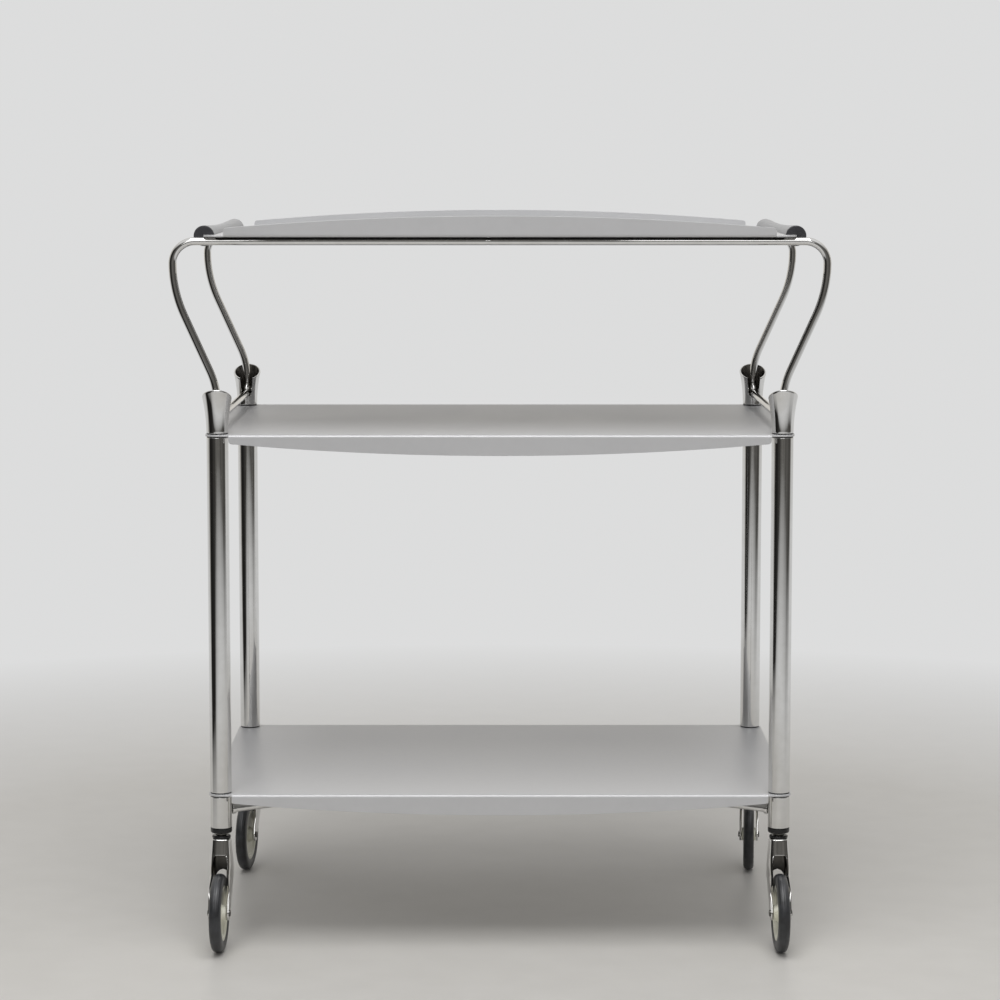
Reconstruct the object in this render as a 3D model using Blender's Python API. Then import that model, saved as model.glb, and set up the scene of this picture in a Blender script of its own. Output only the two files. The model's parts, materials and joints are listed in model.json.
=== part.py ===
"""A two-shelf bar cart on four swivel casters, with a wire frame that carries a lift-off tray.

Units are metres and +Z is up. The front faces -Y and the wheels stand on Z = 0.
"""

import math

import bmesh
import bpy
from mathutils import Vector

# ---- Clearances and facets ----
GAP = 0.0003  # between pieces that rest on or fit into each other
WELD = 1e-6
ARC_STEP = math.radians(15)  # facets of the wire's bends
WIRE_BEVEL = 2
TUBE_FACETS = 16
SMALL_FACETS = 12
WHEEL_FACETS = 28

# ---- Posts and sheets ----
POST_SPACING_X = 0.570  # between post axes, side to side
POST_SPACING_Y = 0.365  # between post axes, front to back
TUBE_DIAMETER = 0.022
TUBE_WALL = 0.0015
SHELF_SPACING = 0.3678  # top face to top face
SHEET = 0.002
PLATE_MARGIN = 0.012  # from a post axis to the sheet's edge, and its corner radius
FLANGE_MIDDLE = 0.0212  # height of a long side's flange at the middle, sheet included
FLANGE_END = 0.0092  # and at its ends
FLANGE_CORNER = 0.003
SHELF_FLANGE_GAP = 0.001  # from a shelf's flange to the tubes
TRAY_FLANGE_LENGTH = 0.552
TIE_ROD_DIAMETER = 0.006

# ---- Trumpet cups ----
CUP_BASE_RADIUS = 0.011
CUP_FLARE = 0.004  # added radius at CUP_HEIGHT
CUP_HEIGHT = 0.037  # to the rim, over the cup's axis
CUP_SLANT = math.radians(26)
CUP_WALL = 0.002
CUP_SLOT_WIDTH = 0.0125
CUP_THREAD_DEPTH = 0.007

# ---- Wire frame ----
WIRE_DIAMETER = 0.008
CROSSBAR_HEIGHT = 0.0145  # of its axis, over the middle shelf
HOOP_OVERHANG = 0.0432  # from a post axis out to the hoop's side
HOOP_HEIGHT = 0.1937  # of the top run's axis, over the middle shelf
LOWER_BEND_HEIGHT = 0.0482  # corners of the side's bends, over the middle shelf
UPPER_BEND_DROP = 0.0498  # and below the top run
LOWER_BEND_RADIUS = 0.080
UPPER_BEND_RADIUS = 0.126  # leaves a short straight to the top bend
TOP_BEND_RADIUS = 0.0225
FOOT_BEND_RADIUS = 0.011

# ---- Tray grips ----
GRIP_END_RADIUS = 0.0103
GRIP_WAIST_RADIUS = 0.0080
GRIP_WAIST_POWER = 1.4
GRIP_CAP_THICKNESS = 0.003
GRIP_TO_WIRE = 0.0005  # side play of the caps between the hoops

# ---- Cross brace ----
BRACE_DIAMETER = 0.008
BRACE_DROP = 0.018  # from the bottom shelf's top face to the rods' axis
FERRULE_DIAMETER = 0.011
FERRULE_LENGTH = 0.0045

# ---- Casters ----
WHEEL_DIAMETER = 0.080
TYRE_WIDTH = 0.012
TYRE_DEPTH = 0.0115  # radial thickness of the rubber
HUB_LENGTH = 0.0154
HUB_RADIUS = 0.0085
WEB_THICKNESS = 0.0045
AXLE_DIAMETER = 0.006
AXLE_HEAD_DIAMETER = 0.010
AXLE_HEAD_THICKNESS = 0.0017
TRAIL = 0.024
FORK_CROWN = 0.0327  # from the wheel's top to the fork's top
FORK_TOP_WIDTH = 0.0176
FORK_SHOULDER_WIDTH = 0.0234
FORK_LEG = 0.0025
FORK_EYE_RADIUS = 0.0073
FORK_BACK = 0.0105  # from the swivel axis to the back of the rear skirt
FORK_SKIRT_THICKNESS = 0.003
FORK_ARCH_DROP = 0.0157  # from the fork's top to the top of the front window
STEM_DIAMETER = 0.010
STEM_HEAD_DIAMETER = 0.0138
STEM_HEAD_THICKNESS = 0.003
WASHER_DIAMETER = 0.019
WASHER_THICKNESS = 0.003
NECK = 0.003  # bare stem between the washer and the socket bush
BUSH_RIM = 0.005
BUSH_PLUG_LENGTH = 0.0245
BUSH_ROOF = 0.0045
LOWER_POST_LENGTH = 0.0332
REST_SWIVEL = {  # turn of each caster at rest, from trailing straight to the front
    "front_left": math.radians(-2.5),
    "front_right": math.radians(1.7),
    "rear_left": math.radians(-7.0),
    "rear_right": math.radians(-4.8),
}

# ---- Values worked out from the ones above ----
CORNERS = {
    "front_left": (-1, -1),
    "front_right": (1, -1),
    "rear_left": (-1, 1),
    "rear_right": (1, 1),
}
TUBE_RADIUS = TUBE_DIAMETER / 2
TUBE_BORE = TUBE_RADIUS - TUBE_WALL
WIRE_RADIUS = WIRE_DIAMETER / 2
WHEEL_RADIUS = WHEEL_DIAMETER / 2
HALF_X = POST_SPACING_X / 2
HALF_Y = POST_SPACING_Y / 2
PLATE_HALF_X = HALF_X + PLATE_MARGIN
PLATE_HALF_Y = HALF_Y + PLATE_MARGIN
FORK_TOP = WHEEL_DIAMETER + FORK_CROWN
WASHER_BOTTOM = FORK_TOP + GAP
BUSH_BOTTOM = WASHER_BOTTOM + WASHER_THICKNESS + NECK
BUSH_SHOULDER = BUSH_BOTTOM + BUSH_RIM
BUSH_TOP = BUSH_SHOULDER + BUSH_PLUG_LENGTH
LOWER_POST_BOTTOM = BUSH_SHOULDER + GAP
BOTTOM_SHELF_TOP = LOWER_POST_BOTTOM + LOWER_POST_LENGTH + GAP + SHEET
MIDDLE_SHELF_TOP = BOTTOM_SHELF_TOP + SHELF_SPACING
CUP_BOTTOM = MIDDLE_SHELF_TOP + GAP
CROSSBAR_Z = MIDDLE_SHELF_TOP + CROSSBAR_HEIGHT
HOOP_Z = MIDDLE_SHELF_TOP + HOOP_HEIGHT
TRAY_BOTTOM = HOOP_Z + WIRE_RADIUS + GAP
CUP_FLOOR = CROSSBAR_Z - WIRE_RADIUS - GAP - CUP_BOTTOM
TIE_ROD_HOLE = TIE_ROD_DIAMETER / 2 + GAP
STEM_HOLE = STEM_DIAMETER / 2 + GAP
AXLE_HOLE = AXLE_DIAMETER / 2 + GAP
TYRE_BORE = WHEEL_RADIUS - TYRE_DEPTH
FORK_INNER = HUB_LENGTH + 2 * GAP
STEM_HEAD_TOP = FORK_TOP - FORK_ARCH_DROP + STEM_HEAD_THICKNESS + GAP


# ---- Helpers ----
def material(name, colour, roughness, metallic):
    """A Principled material of one colour."""
    made = bpy.data.materials.new(name)
    made.use_nodes = True
    shader = made.node_tree.nodes["Principled BSDF"]
    shader.inputs["Base Color"].default_value = (*colour, 1.0)
    shader.inputs["Roughness"].default_value = roughness
    shader.inputs["Metallic"].default_value = metallic
    made.diffuse_color = (*colour, 1.0)
    return made


def finished(name, bm):
    """The bmesh as a mesh with its normals outward, smooth but for its sharp edges."""
    bmesh.ops.remove_doubles(bm, verts=bm.verts, dist=WELD)
    bmesh.ops.recalc_face_normals(bm, faces=bm.faces)
    mesh = bpy.data.meshes.new(name)
    bm.to_mesh(mesh)
    bm.free()
    mesh.shade_smooth()
    mesh.set_sharp_from_angle(angle=math.radians(35))
    return mesh


def turned(name, profile, facets, axis=(0, 0, 1)):
    """A turned solid about Z or a level axis. The profile's points are (radius, height along the axis).

    A profile that starts off the axis is closed into a ring.
    """
    bm = bmesh.new()
    along = Vector(axis)
    across = Vector((1, 0, 0)) if along.z else Vector((0, 0, 1))
    points = [bm.verts.new(across * radius + along * height) for radius, height in profile]
    edges = [bm.edges.new(pair) for pair in zip(points, points[1:])]
    if profile[0][0] > 0:
        edges.append(bm.edges.new((points[-1], points[0])))
    bmesh.ops.spin(
        bm,
        geom=points + edges,
        axis=along,
        cent=(0, 0, 0),
        angle=2 * math.pi,
        steps=facets,
    )
    return finished(name, bm)


def ring_profile(inner, outer, low, high):
    """The section of a plain ring or tube."""
    return [(inner, low), (outer, low), (outer, high), (inner, high)]


def prism(name, outline, low, high, axis="Z"):
    """An outline pushed from low to high along an axis. It lies in XY, XZ or YZ."""
    place = {
        "X": lambda u, v, w: (w, u, v),
        "Y": lambda u, v, w: (u, w, v),
        "Z": lambda u, v, w: (u, v, w),
    }[axis]
    bm = bmesh.new()
    near = [bm.verts.new(place(u, v, low)) for u, v in outline]
    far = [bm.verts.new(place(u, v, high)) for u, v in outline]
    bm.faces.new(near)
    bm.faces.new(far)
    for i, corner in enumerate(near):
        bm.faces.new((near[i - 1], corner, far[i], far[i - 1]))
    return finished(name, bm)


def rectangle(x_low, x_high, y_low, y_high):
    return [(x_low, y_low), (x_high, y_low), (x_high, y_high), (x_low, y_high)]


def arc(centre, radius, start, end, steps):
    """Points on an arc, ends included, from one angle to another in degrees."""
    angles = [math.radians(start + (end - start) * i / steps) for i in range(steps + 1)]
    return [
        (centre[0] + radius * math.cos(angle), centre[1] + radius * math.sin(angle))
        for angle in angles
    ]


def solid(name, mesh, finish, parent, location=(0, 0, 0), turn=0.0):
    """An object that holds the mesh, placed under its parent and turned about Z."""
    obj = bpy.data.objects.new(name, mesh)
    bpy.context.scene.collection.objects.link(obj)
    obj.parent = parent
    obj.location = location
    obj.rotation_euler = (0, 0, turn)
    if not mesh.materials:
        mesh.materials.append(finish)
    return obj


def empty(name, parent=None, location=(0, 0, 0), turn=0.0):
    obj = bpy.data.objects.new(name, None)
    bpy.context.scene.collection.objects.link(obj)
    obj.parent = parent
    obj.location = location
    obj.rotation_euler = (0, 0, turn)
    return obj


def combined(name, base, others):
    """One mesh from a base mesh and (operation, mesh) pairs, joined or cut by exact Booleans."""
    target = bpy.data.objects.new(name, base)
    bpy.context.scene.collection.objects.link(target)
    helpers = []
    for operation, mesh in others:
        helper = bpy.data.objects.new(name + "_helper", mesh)
        bpy.context.scene.collection.objects.link(helper)
        helper.hide_render = True
        helper.display_type = "WIRE"
        helpers.append(helper)
        modifier = target.modifiers.new(operation.lower(), "BOOLEAN")
        modifier.operation = operation
        modifier.solver = "EXACT"
        modifier.object = helper
    graph = bpy.context.evaluated_depsgraph_get()
    result = bpy.data.meshes.new_from_object(target.evaluated_get(graph))
    for obj in helpers + [target]:
        bpy.data.objects.remove(obj)
    result.name = name
    result.shade_smooth()
    result.set_sharp_from_angle(angle=math.radians(35))
    return result


# ---- Sheets ----
def plate_outline():
    """The blank: a rectangle whose corners are round about the post axes."""
    points = []
    for sign_x, sign_y, start in ((1, 1, 0), (-1, 1, 90), (-1, -1, 180), (1, -1, 270)):
        points += arc((sign_x * HALF_X, sign_y * HALF_Y), PLATE_MARGIN, start, start + 90, 6)
    return points


def flange_outline(half_length, up):
    """A long side's flange in XZ, from the sheet's outer face (Z = 0). Its free edge is bowed."""
    steps = 12
    free = []
    for i in range(steps + 1):
        share = 2 * i / steps - 1
        height = FLANGE_END + (FLANGE_MIDDLE - FLANGE_END) * (1 - share * share)
        free.append([share * half_length, height])
    free[0][0] += FLANGE_CORNER
    free[-1][0] -= FLANGE_CORNER
    low_left = [-half_length, FLANGE_END - FLANGE_CORNER]
    low_right = [half_length, FLANGE_END - FLANGE_CORNER]
    outline = [[-half_length, 0], low_left] + free + [low_right, [half_length, 0]]
    sign = 1 if up else -1
    return [(x, sign * z) for x, z in outline]


def sheet_mesh(name, half_length, up, bored):
    """A plate at Z = 0 (outer face of the bend) with a flange along each long side."""
    thickness = SHEET if up else -SHEET
    low, high = sorted((0, thickness))
    slab = prism(name, plate_outline(), low, high)
    others = []
    for side in (-1, 1):
        near, far = sorted((side * PLATE_HALF_Y, side * (PLATE_HALF_Y - SHEET)))
        flange = prism(name + "_flange", flange_outline(half_length, up), near, far, "Y")
        others.append(("UNION", flange))
    if bored:
        for sign_x, sign_y in CORNERS.values():
            outline = arc((sign_x * HALF_X, sign_y * HALF_Y), TIE_ROD_HOLE, 0, 330, 11)
            others.append(("DIFFERENCE", prism("hole", outline, -2 * SHEET, 2 * SHEET)))
    return combined(name, slab, others)


def add_sheets(cart, finish):
    shelf_half = HALF_X - TUBE_RADIUS - SHELF_FLANGE_GAP
    shelf = sheet_mesh("shelf", shelf_half, up=False, bored=True)
    solid("bottom_shelf", shelf, finish, cart, (0, 0, BOTTOM_SHELF_TOP))
    solid("middle_shelf", shelf, finish, cart, (0, 0, MIDDLE_SHELF_TOP))
    tray = sheet_mesh("tray", TRAY_FLANGE_LENGTH / 2, up=True, bored=False)
    solid("tray", tray, finish, cart, (0, 0, TRAY_BOTTOM))


# ---- Posts ----
def tube_mesh(name, length):
    return turned(name, ring_profile(TUBE_BORE, TUBE_RADIUS, 0, length), TUBE_FACETS)


def add_posts(cart, chrome, steel):
    lower = tube_mesh("lower_post", LOWER_POST_LENGTH)
    upper = tube_mesh("post", SHELF_SPACING - SHEET - 2 * GAP)
    rod_bottom = BUSH_TOP - BUSH_ROOF + GAP
    rod_top = CUP_BOTTOM + CUP_THREAD_DEPTH - GAP
    radius = TIE_ROD_DIAMETER / 2
    length = rod_top - rod_bottom
    rod = turned("tie_rod", [(0, 0), (radius, 0), (radius, length), (0, length)], SMALL_FACETS)
    for corner, (sign_x, sign_y) in CORNERS.items():
        x, y = sign_x * HALF_X, sign_y * HALF_Y
        solid("lower_post_" + corner, lower, chrome, cart, (x, y, LOWER_POST_BOTTOM))
        solid("post_" + corner, upper, chrome, cart, (x, y, BOTTOM_SHELF_TOP + GAP))
        solid("tie_rod_" + corner, rod, steel, cart, (x, y, rod_bottom))


def bush_mesh():
    """A plug inside the lower post with a rim below it, bored for the stem and the tie rod."""
    plug = TUBE_BORE - GAP
    roof = BUSH_TOP - BUSH_ROOF
    profile = [
        (STEM_HOLE, BUSH_BOTTOM),
        (TUBE_RADIUS, BUSH_BOTTOM),
        (TUBE_RADIUS, BUSH_SHOULDER),
        (plug, BUSH_SHOULDER),
        (plug, BUSH_TOP),
        (TIE_ROD_HOLE, BUSH_TOP),
        (TIE_ROD_HOLE, roof),
        (STEM_HOLE, roof),
    ]
    return turned("socket_bush", profile, TUBE_FACETS)


# ---- Trumpet cups ----
def cup_mesh():
    """A flared cup with a slanted rim, higher at -Y, and a slot at +Y for the crossbar."""
    top = CUP_HEIGHT + (CUP_BASE_RADIUS + 2 * CUP_FLARE) * math.tan(CUP_SLANT)

    def radius(height):
        return CUP_BASE_RADIUS + CUP_FLARE * (height / CUP_HEIGHT) ** 2

    levels = [top * i / 5 for i in range(6)]
    inner_levels = [CUP_FLOOR + (top - CUP_FLOOR) * i / 4 for i in range(5)]
    profile = [(0, CUP_THREAD_DEPTH), (TIE_ROD_HOLE, CUP_THREAD_DEPTH), (TIE_ROD_HOLE, 0)]
    profile += [(radius(height), height) for height in levels]
    profile += [(radius(height) - CUP_WALL, height) for height in reversed(inner_levels)]
    profile.append((0, CUP_FLOOR))
    body = turned("cup_body", profile, TUBE_FACETS)

    reach = 4 * CUP_BASE_RADIUS
    above = prism("rim_cutter", rectangle(-reach, reach, 0, reach), -reach, reach, "X")
    for vertex in above.vertices:
        y, z = vertex.co.y, vertex.co.z
        vertex.co.y = y * math.cos(CUP_SLANT) + z * math.sin(CUP_SLANT)
        vertex.co.z = z * math.cos(CUP_SLANT) - y * math.sin(CUP_SLANT) + CUP_HEIGHT
    half = CUP_SLOT_WIDTH / 2
    centre = CUP_FLOOR + half
    slot_outline = [(half, top + reach), (-half, top + reach)]
    slot_outline += arc((0, centre), half, 180, 360, 10)
    slot = prism("slot_cutter", slot_outline, 0, reach, "Y")
    return combined("trumpet_cup", body, [("DIFFERENCE", above), ("DIFFERENCE", slot)])


def add_cups(cart, chrome):
    cup = cup_mesh()
    for corner, (sign_x, sign_y) in CORNERS.items():
        turn = 0.0 if sign_y < 0 else math.pi
        place = (sign_x * HALF_X, sign_y * HALF_Y, CUP_BOTTOM)
        solid("trumpet_cup_" + corner, cup, chrome, cart, place, turn)


# ---- Wire frame ----
def rounded_path(corners):
    """A closed path through (point, radius) corners, with an arc of that radius at each."""
    path = []
    for i, (corner, radius) in enumerate(corners):
        to_last = (corners[i - 1][0] - corner).normalized()
        to_next = (corners[(i + 1) % len(corners)][0] - corner).normalized()
        turn = math.pi - to_last.angle(to_next)
        centre = corner + (to_last + to_next).normalized() * radius / math.cos(turn / 2)
        start = corner + to_last * radius * math.tan(turn / 2) - centre
        end = corner + to_next * radius * math.tan(turn / 2) - centre
        steps = max(2, math.ceil(turn / ARC_STEP))
        for k in range(steps + 1):
            share = k / steps
            path.append(
                centre
                + start * math.sin((1 - share) * turn) / math.sin(turn)
                + end * math.sin(share * turn) / math.sin(turn)
            )
    return path


def wire_corners():
    """The corners of the closed loop: a front hoop, a crossbar, a rear hoop and a crossbar."""
    side = (
        (0, CROSSBAR_Z, FOOT_BEND_RADIUS),
        (0, MIDDLE_SHELF_TOP + LOWER_BEND_HEIGHT, LOWER_BEND_RADIUS),
        (HOOP_OVERHANG, HOOP_Z - UPPER_BEND_DROP, UPPER_BEND_RADIUS),
        (HOOP_OVERHANG, HOOP_Z, TOP_BEND_RADIUS),
    )
    corners = []
    for sign_x, sign_y, order in ((-1, -1, 1), (1, -1, -1), (1, 1, 1), (-1, 1, -1)):
        for out, z, radius in side[::order]:
            corners.append((Vector((sign_x * (HALF_X + out), sign_y * HALF_Y, z)), radius))
    return corners


def add_wire_frame(cart, chrome):
    path = rounded_path(wire_corners())
    curve = bpy.data.curves.new("wire_frame", "CURVE")
    curve.dimensions = "3D"
    curve.bevel_depth = WIRE_RADIUS
    curve.bevel_resolution = WIRE_BEVEL
    spline = curve.splines.new("POLY")
    spline.points.add(len(path) - 1)
    for point, place in zip(spline.points, path):
        point.co = (*place, 1.0)
    spline.use_cyclic_u = True
    spline.use_smooth = True
    solid("wire_frame", curve, chrome, cart)


# ---- Tray grips ----
def grip_slot():
    """A cutter for the tray's end, for a grip on the right side, about the grip's axis."""
    half = SHEET / 2 + GAP
    outline = rectangle(-2 * GRIP_END_RADIUS, GAP, -half, half)
    return prism("slot_cutter", outline, -HALF_Y, HALF_Y, "Y")


def add_grips(cart, grip_finish, cap_finish):
    """A waisted bar along each end of the tray, with a cap at each of its ends."""
    end = HALF_Y - WIRE_RADIUS - GRIP_TO_WIRE
    half = end - GRIP_CAP_THICKNESS - GAP
    steps = 12
    profile = [(0, -half)]
    for i in range(steps + 1):
        share = math.sin(math.pi * (i / steps - 0.5))
        waist = (GRIP_END_RADIUS - GRIP_WAIST_RADIUS) * (1 - share * share) ** GRIP_WAIST_POWER
        profile.append((GRIP_END_RADIUS - waist, share * half))
    profile.append((0, half))
    body = turned("grip_body", profile, TUBE_FACETS, (0, 1, 0))
    grip = combined("grip", body, [("DIFFERENCE", grip_slot())])
    disc = [
        (0, half + GAP),
        (GRIP_END_RADIUS, half + GAP),
        (GRIP_END_RADIUS, end),
        (0, end),
    ]
    cap = combined(
        "grip_cap",
        turned("cap_body", disc, TUBE_FACETS, (0, 1, 0)),
        [("DIFFERENCE", grip_slot())],
    )
    middle = TRAY_BOTTOM + SHEET / 2
    for side, sign_x in (("left", -1), ("right", 1)):
        turn = 0.0 if sign_x > 0 else math.pi
        place = (sign_x * PLATE_HALF_X, 0, middle)
        solid("grip_" + side, grip, grip_finish, cart, place, turn)
    mirrored = cap.copy()
    for vertex in mirrored.vertices:
        vertex.co.y = -vertex.co.y
    mirrored.flip_normals()
    for corner, (sign_x, sign_y) in CORNERS.items():
        turn = 0.0 if sign_x > 0 else math.pi
        shape = cap if sign_x * sign_y > 0 else mirrored
        place = (sign_x * PLATE_HALF_X, 0, middle)
        solid("grip_cap_" + corner, shape, cap_finish, cart, place, turn)


# ---- Cross brace ----
def add_brace(cart, chrome):
    """Two crossed rods between the lower posts, welded where they meet, with a ferrule at each end."""
    height = BOTTOM_SHELF_TOP - BRACE_DROP
    reach = math.hypot(HALF_X, HALF_Y) - TUBE_RADIUS - GAP
    radius = BRACE_DIAMETER / 2
    heading = math.atan2(HALF_Y, HALF_X)
    rods = []
    for turn in (heading, -heading):
        profile = [(0, -reach), (radius, -reach), (radius, reach), (0, reach)]
        along = (math.cos(turn), math.sin(turn), 0)
        rods.append(turned("brace_rod", profile, SMALL_FACETS, along))
    brace = combined("cross_brace", rods[0], [("UNION", rods[1])])
    solid("cross_brace", brace, chrome, cart, (0, 0, height))
    section = ring_profile(radius + GAP, FERRULE_DIAMETER / 2, reach - FERRULE_LENGTH, reach)
    ferrule = turned("brace_ferrule", section, SMALL_FACETS, (1, 0, 0))
    for corner, (sign_x, sign_y) in CORNERS.items():
        turn = math.atan2(sign_y * HALF_Y, sign_x * HALF_X)
        solid("brace_ferrule_" + corner, ferrule, chrome, cart, (0, 0, height), turn)


# ---- Casters ----
def fork_side():
    """The fork in YZ: a crown over the swivel axis, a rear skirt, and legs down to the axle's eye."""
    crown = FORK_TOP_WIDTH / 2
    skirt_bottom = WHEEL_DIAMETER - 0.002
    eye = (-TRAIL, WHEEL_RADIUS)
    return [
        (-crown, FORK_TOP),
        (crown, FORK_TOP),
        (FORK_BACK, FORK_TOP - 0.008),
        (FORK_BACK, skirt_bottom),
        (FORK_BACK - 0.006, skirt_bottom - 0.003),
        *arc(eye, FORK_EYE_RADIUS, -38, -191, 7),
        (-TRAIL / 2, FORK_TOP - FORK_ARCH_DROP),
    ]


def fork_front():
    """The fork in XZ: narrow at its top, widest at its shoulders."""
    top = FORK_TOP_WIDTH / 2
    shoulder = FORK_SHOULDER_WIDTH / 2
    foot = FORK_INNER / 2 + FORK_LEG
    right = [
        (top, FORK_TOP),
        (shoulder, WHEEL_DIAMETER + 0.004),
        (shoulder, WHEEL_DIAMETER - 0.004),
        (foot, WHEEL_RADIUS + 0.012),
        (foot, 0),
    ]
    return right + [(-x, z) for x, z in reversed(right)]


def fork_mesh():
    half = FORK_INNER / 2
    arch_top = FORK_TOP - FORK_ARCH_DROP
    body = prism("fork_body", fork_side(), -FORK_SHOULDER_WIDTH, FORK_SHOULDER_WIDTH, "X")
    front = prism("fork_front", fork_front(), -WHEEL_DIAMETER, WHEEL_DIAMETER, "Y")
    arch = [(half, -half)] + arc((0, arch_top - half), half, 0, 180, 10) + [(-half, -half)]
    pocket = prism(
        "fork_pocket", arch, -WHEEL_DIAMETER, FORK_BACK - FORK_SKIRT_THICKNESS, "Y"
    )
    head = STEM_HEAD_DIAMETER / 2 + GAP
    seat = STEM_HEAD_TOP + GAP
    recess = [(0, arch_top - half), (head, arch_top - half), (head, seat)]
    recess += [(STEM_HOLE, seat), (STEM_HOLE, 2 * FORK_TOP), (0, 2 * FORK_TOP)]
    bore = turned("fork_bore", recess, SMALL_FACETS)
    axle = prism(
        "axle_bore",
        arc((-TRAIL, WHEEL_RADIUS), AXLE_HOLE, 0, 330, 11),
        -FORK_SHOULDER_WIDTH,
        FORK_SHOULDER_WIDTH,
        "X",
    )
    cuts = [("DIFFERENCE", mesh) for mesh in (pocket, bore, axle)]
    return combined("caster_fork", body, [("INTERSECT", front)] + cuts)


def stem_mesh():
    """The pin that the fork swivels on: a shank up into the bush, and a head inside the fork."""
    shank = STEM_DIAMETER / 2
    head = STEM_HEAD_DIAMETER / 2
    top = BUSH_TOP - BUSH_ROOF - GAP
    head_bottom = STEM_HEAD_TOP - STEM_HEAD_THICKNESS
    profile = [
        (0, head_bottom),
        (head, head_bottom),
        (head, STEM_HEAD_TOP),
        (shank, STEM_HEAD_TOP),
        (shank, top - 0.001),
        (shank - 0.001, top),
        (0, top),
    ]
    return turned("caster_stem", profile, SMALL_FACETS)


def axle_mesh():
    """A riveted pin along X, with a head outside each leg."""
    pin = AXLE_DIAMETER / 2
    head = AXLE_HEAD_DIAMETER / 2
    inner = FORK_INNER / 2 + FORK_LEG + GAP
    outer = inner + AXLE_HEAD_THICKNESS
    right = [(pin, inner), (head, inner), (head, outer - 0.0005), (head - 0.001, outer), (0, outer)]
    left = [(radius, -x) for radius, x in reversed(right)]
    return turned("axle", left + right, SMALL_FACETS, (1, 0, 0))


def hub_mesh():
    """A wheel disc: a bored barrel, a thin web and a rim under the tyre."""
    rim = TYRE_BORE - GAP
    rim_half = TYRE_WIDTH / 2 - 0.0008
    half = HUB_LENGTH / 2
    web = WEB_THICKNESS / 2
    right = [
        (AXLE_HOLE, half),
        (HUB_RADIUS, half),
        (HUB_RADIUS, web),
        (rim - 0.004, web),
        (rim - 0.003, rim_half),
        (rim, rim_half),
    ]
    left = [(radius, -x) for radius, x in reversed(right)]
    return turned("wheel_hub", right + left, TUBE_FACETS, (1, 0, 0))


def tyre_mesh():
    """A rubber ring with a rounded tread."""
    half = TYRE_WIDTH / 2
    right = [
        (TYRE_BORE, half - 0.0008),
        (TYRE_BORE + 0.001, half),
        (WHEEL_RADIUS - half / 2, half),
        (WHEEL_RADIUS - half / 6, half * 0.6),
        (WHEEL_RADIUS, half * 0.2),
    ]
    left = [(radius, -x) for radius, x in reversed(right)]
    return turned("tyre", right + left, WHEEL_FACETS, (1, 0, 0))


def add_casters(cart, finishes):
    """Each caster's fork, washer, axle and wheel hang on an empty on its swivel axis."""
    fork, stem, axle, hub, tyre = fork_mesh(), stem_mesh(), axle_mesh(), hub_mesh(), tyre_mesh()
    section = ring_profile(STEM_HOLE, WASHER_DIAMETER / 2, 0, WASHER_THICKNESS)
    washer = turned("swivel_washer", section, TUBE_FACETS)
    bush = bush_mesh()
    for corner, (sign_x, sign_y) in CORNERS.items():
        place = (sign_x * HALF_X, sign_y * HALF_Y, 0)
        solid("socket_bush_" + corner, bush, finishes["black"], cart, place)
        solid("caster_stem_" + corner, stem, finishes["steel"], cart, place)
        swivel = empty("swivel_" + corner, cart, place, REST_SWIVEL[corner])
        solid("caster_fork_" + corner, fork, finishes["chrome"], swivel)
        above = (0, 0, WASHER_BOTTOM)
        solid("swivel_washer_" + corner, washer, finishes["black"], swivel, above)
        centre = (0, -TRAIL, WHEEL_RADIUS)
        solid("axle_" + corner, axle, finishes["steel"], swivel, centre)
        solid("wheel_hub_" + corner, hub, finishes["cream"], swivel, centre)
        solid("tyre_" + corner, tyre, finishes["tyre"], swivel, centre)


def centre_over_footprint(cart):
    """Moves the whole cart so that the middle of its depth is over the origin."""
    bpy.context.view_layer.update()
    depths = [
        (obj.matrix_world @ vertex.co).y
        for obj in bpy.data.objects
        if obj.type == "MESH"
        for vertex in obj.data.vertices
    ]
    cart.location.y = -(min(depths) + max(depths)) / 2


def build():
    for obj in list(bpy.data.objects):
        bpy.data.objects.remove(obj)
    finishes = {
        "chrome": material("chrome", (0.72, 0.72, 0.73), 0.08, 1.0),
        "sheet": material("silver_sheet", (0.55, 0.56, 0.57), 0.40, 0.6),
        "steel": material("zinc_steel", (0.55, 0.55, 0.55), 0.30, 1.0),
        "grip": material("grip_grey", (0.42, 0.42, 0.43), 0.50, 0.0),
        "cap": material("cap_charcoal", (0.05, 0.05, 0.055), 0.45, 0.0),
        "black": material("black_plastic", (0.02, 0.02, 0.02), 0.40, 0.0),
        "cream": material("hub_cream", (0.70, 0.68, 0.60), 0.45, 0.0),
        "tyre": material("tyre_rubber", (0.05, 0.05, 0.05), 0.65, 0.0),
    }
    cart = empty("cart")
    add_sheets(cart, finishes["sheet"])
    add_posts(cart, finishes["chrome"], finishes["steel"])
    add_cups(cart, finishes["chrome"])
    add_wire_frame(cart, finishes["chrome"])
    add_grips(cart, finishes["grip"], finishes["cap"])
    add_brace(cart, finishes["chrome"])
    add_casters(cart, finishes)
    centre_over_footprint(cart)


build()
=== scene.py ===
# %% [markdown]
# # A bar cart on casters
#
# The cart is a set of bent sheets, chromed tubes and one long bent wire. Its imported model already
# says how big everything is, where it stands and how it turns. This lesson dresses that model: each
# part is worked out again as a fine surface, and gets a finish made of nodes.
#
# All lengths are metres. The front of the cart faces -Y and +Z is up.

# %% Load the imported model
import json
import math

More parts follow.
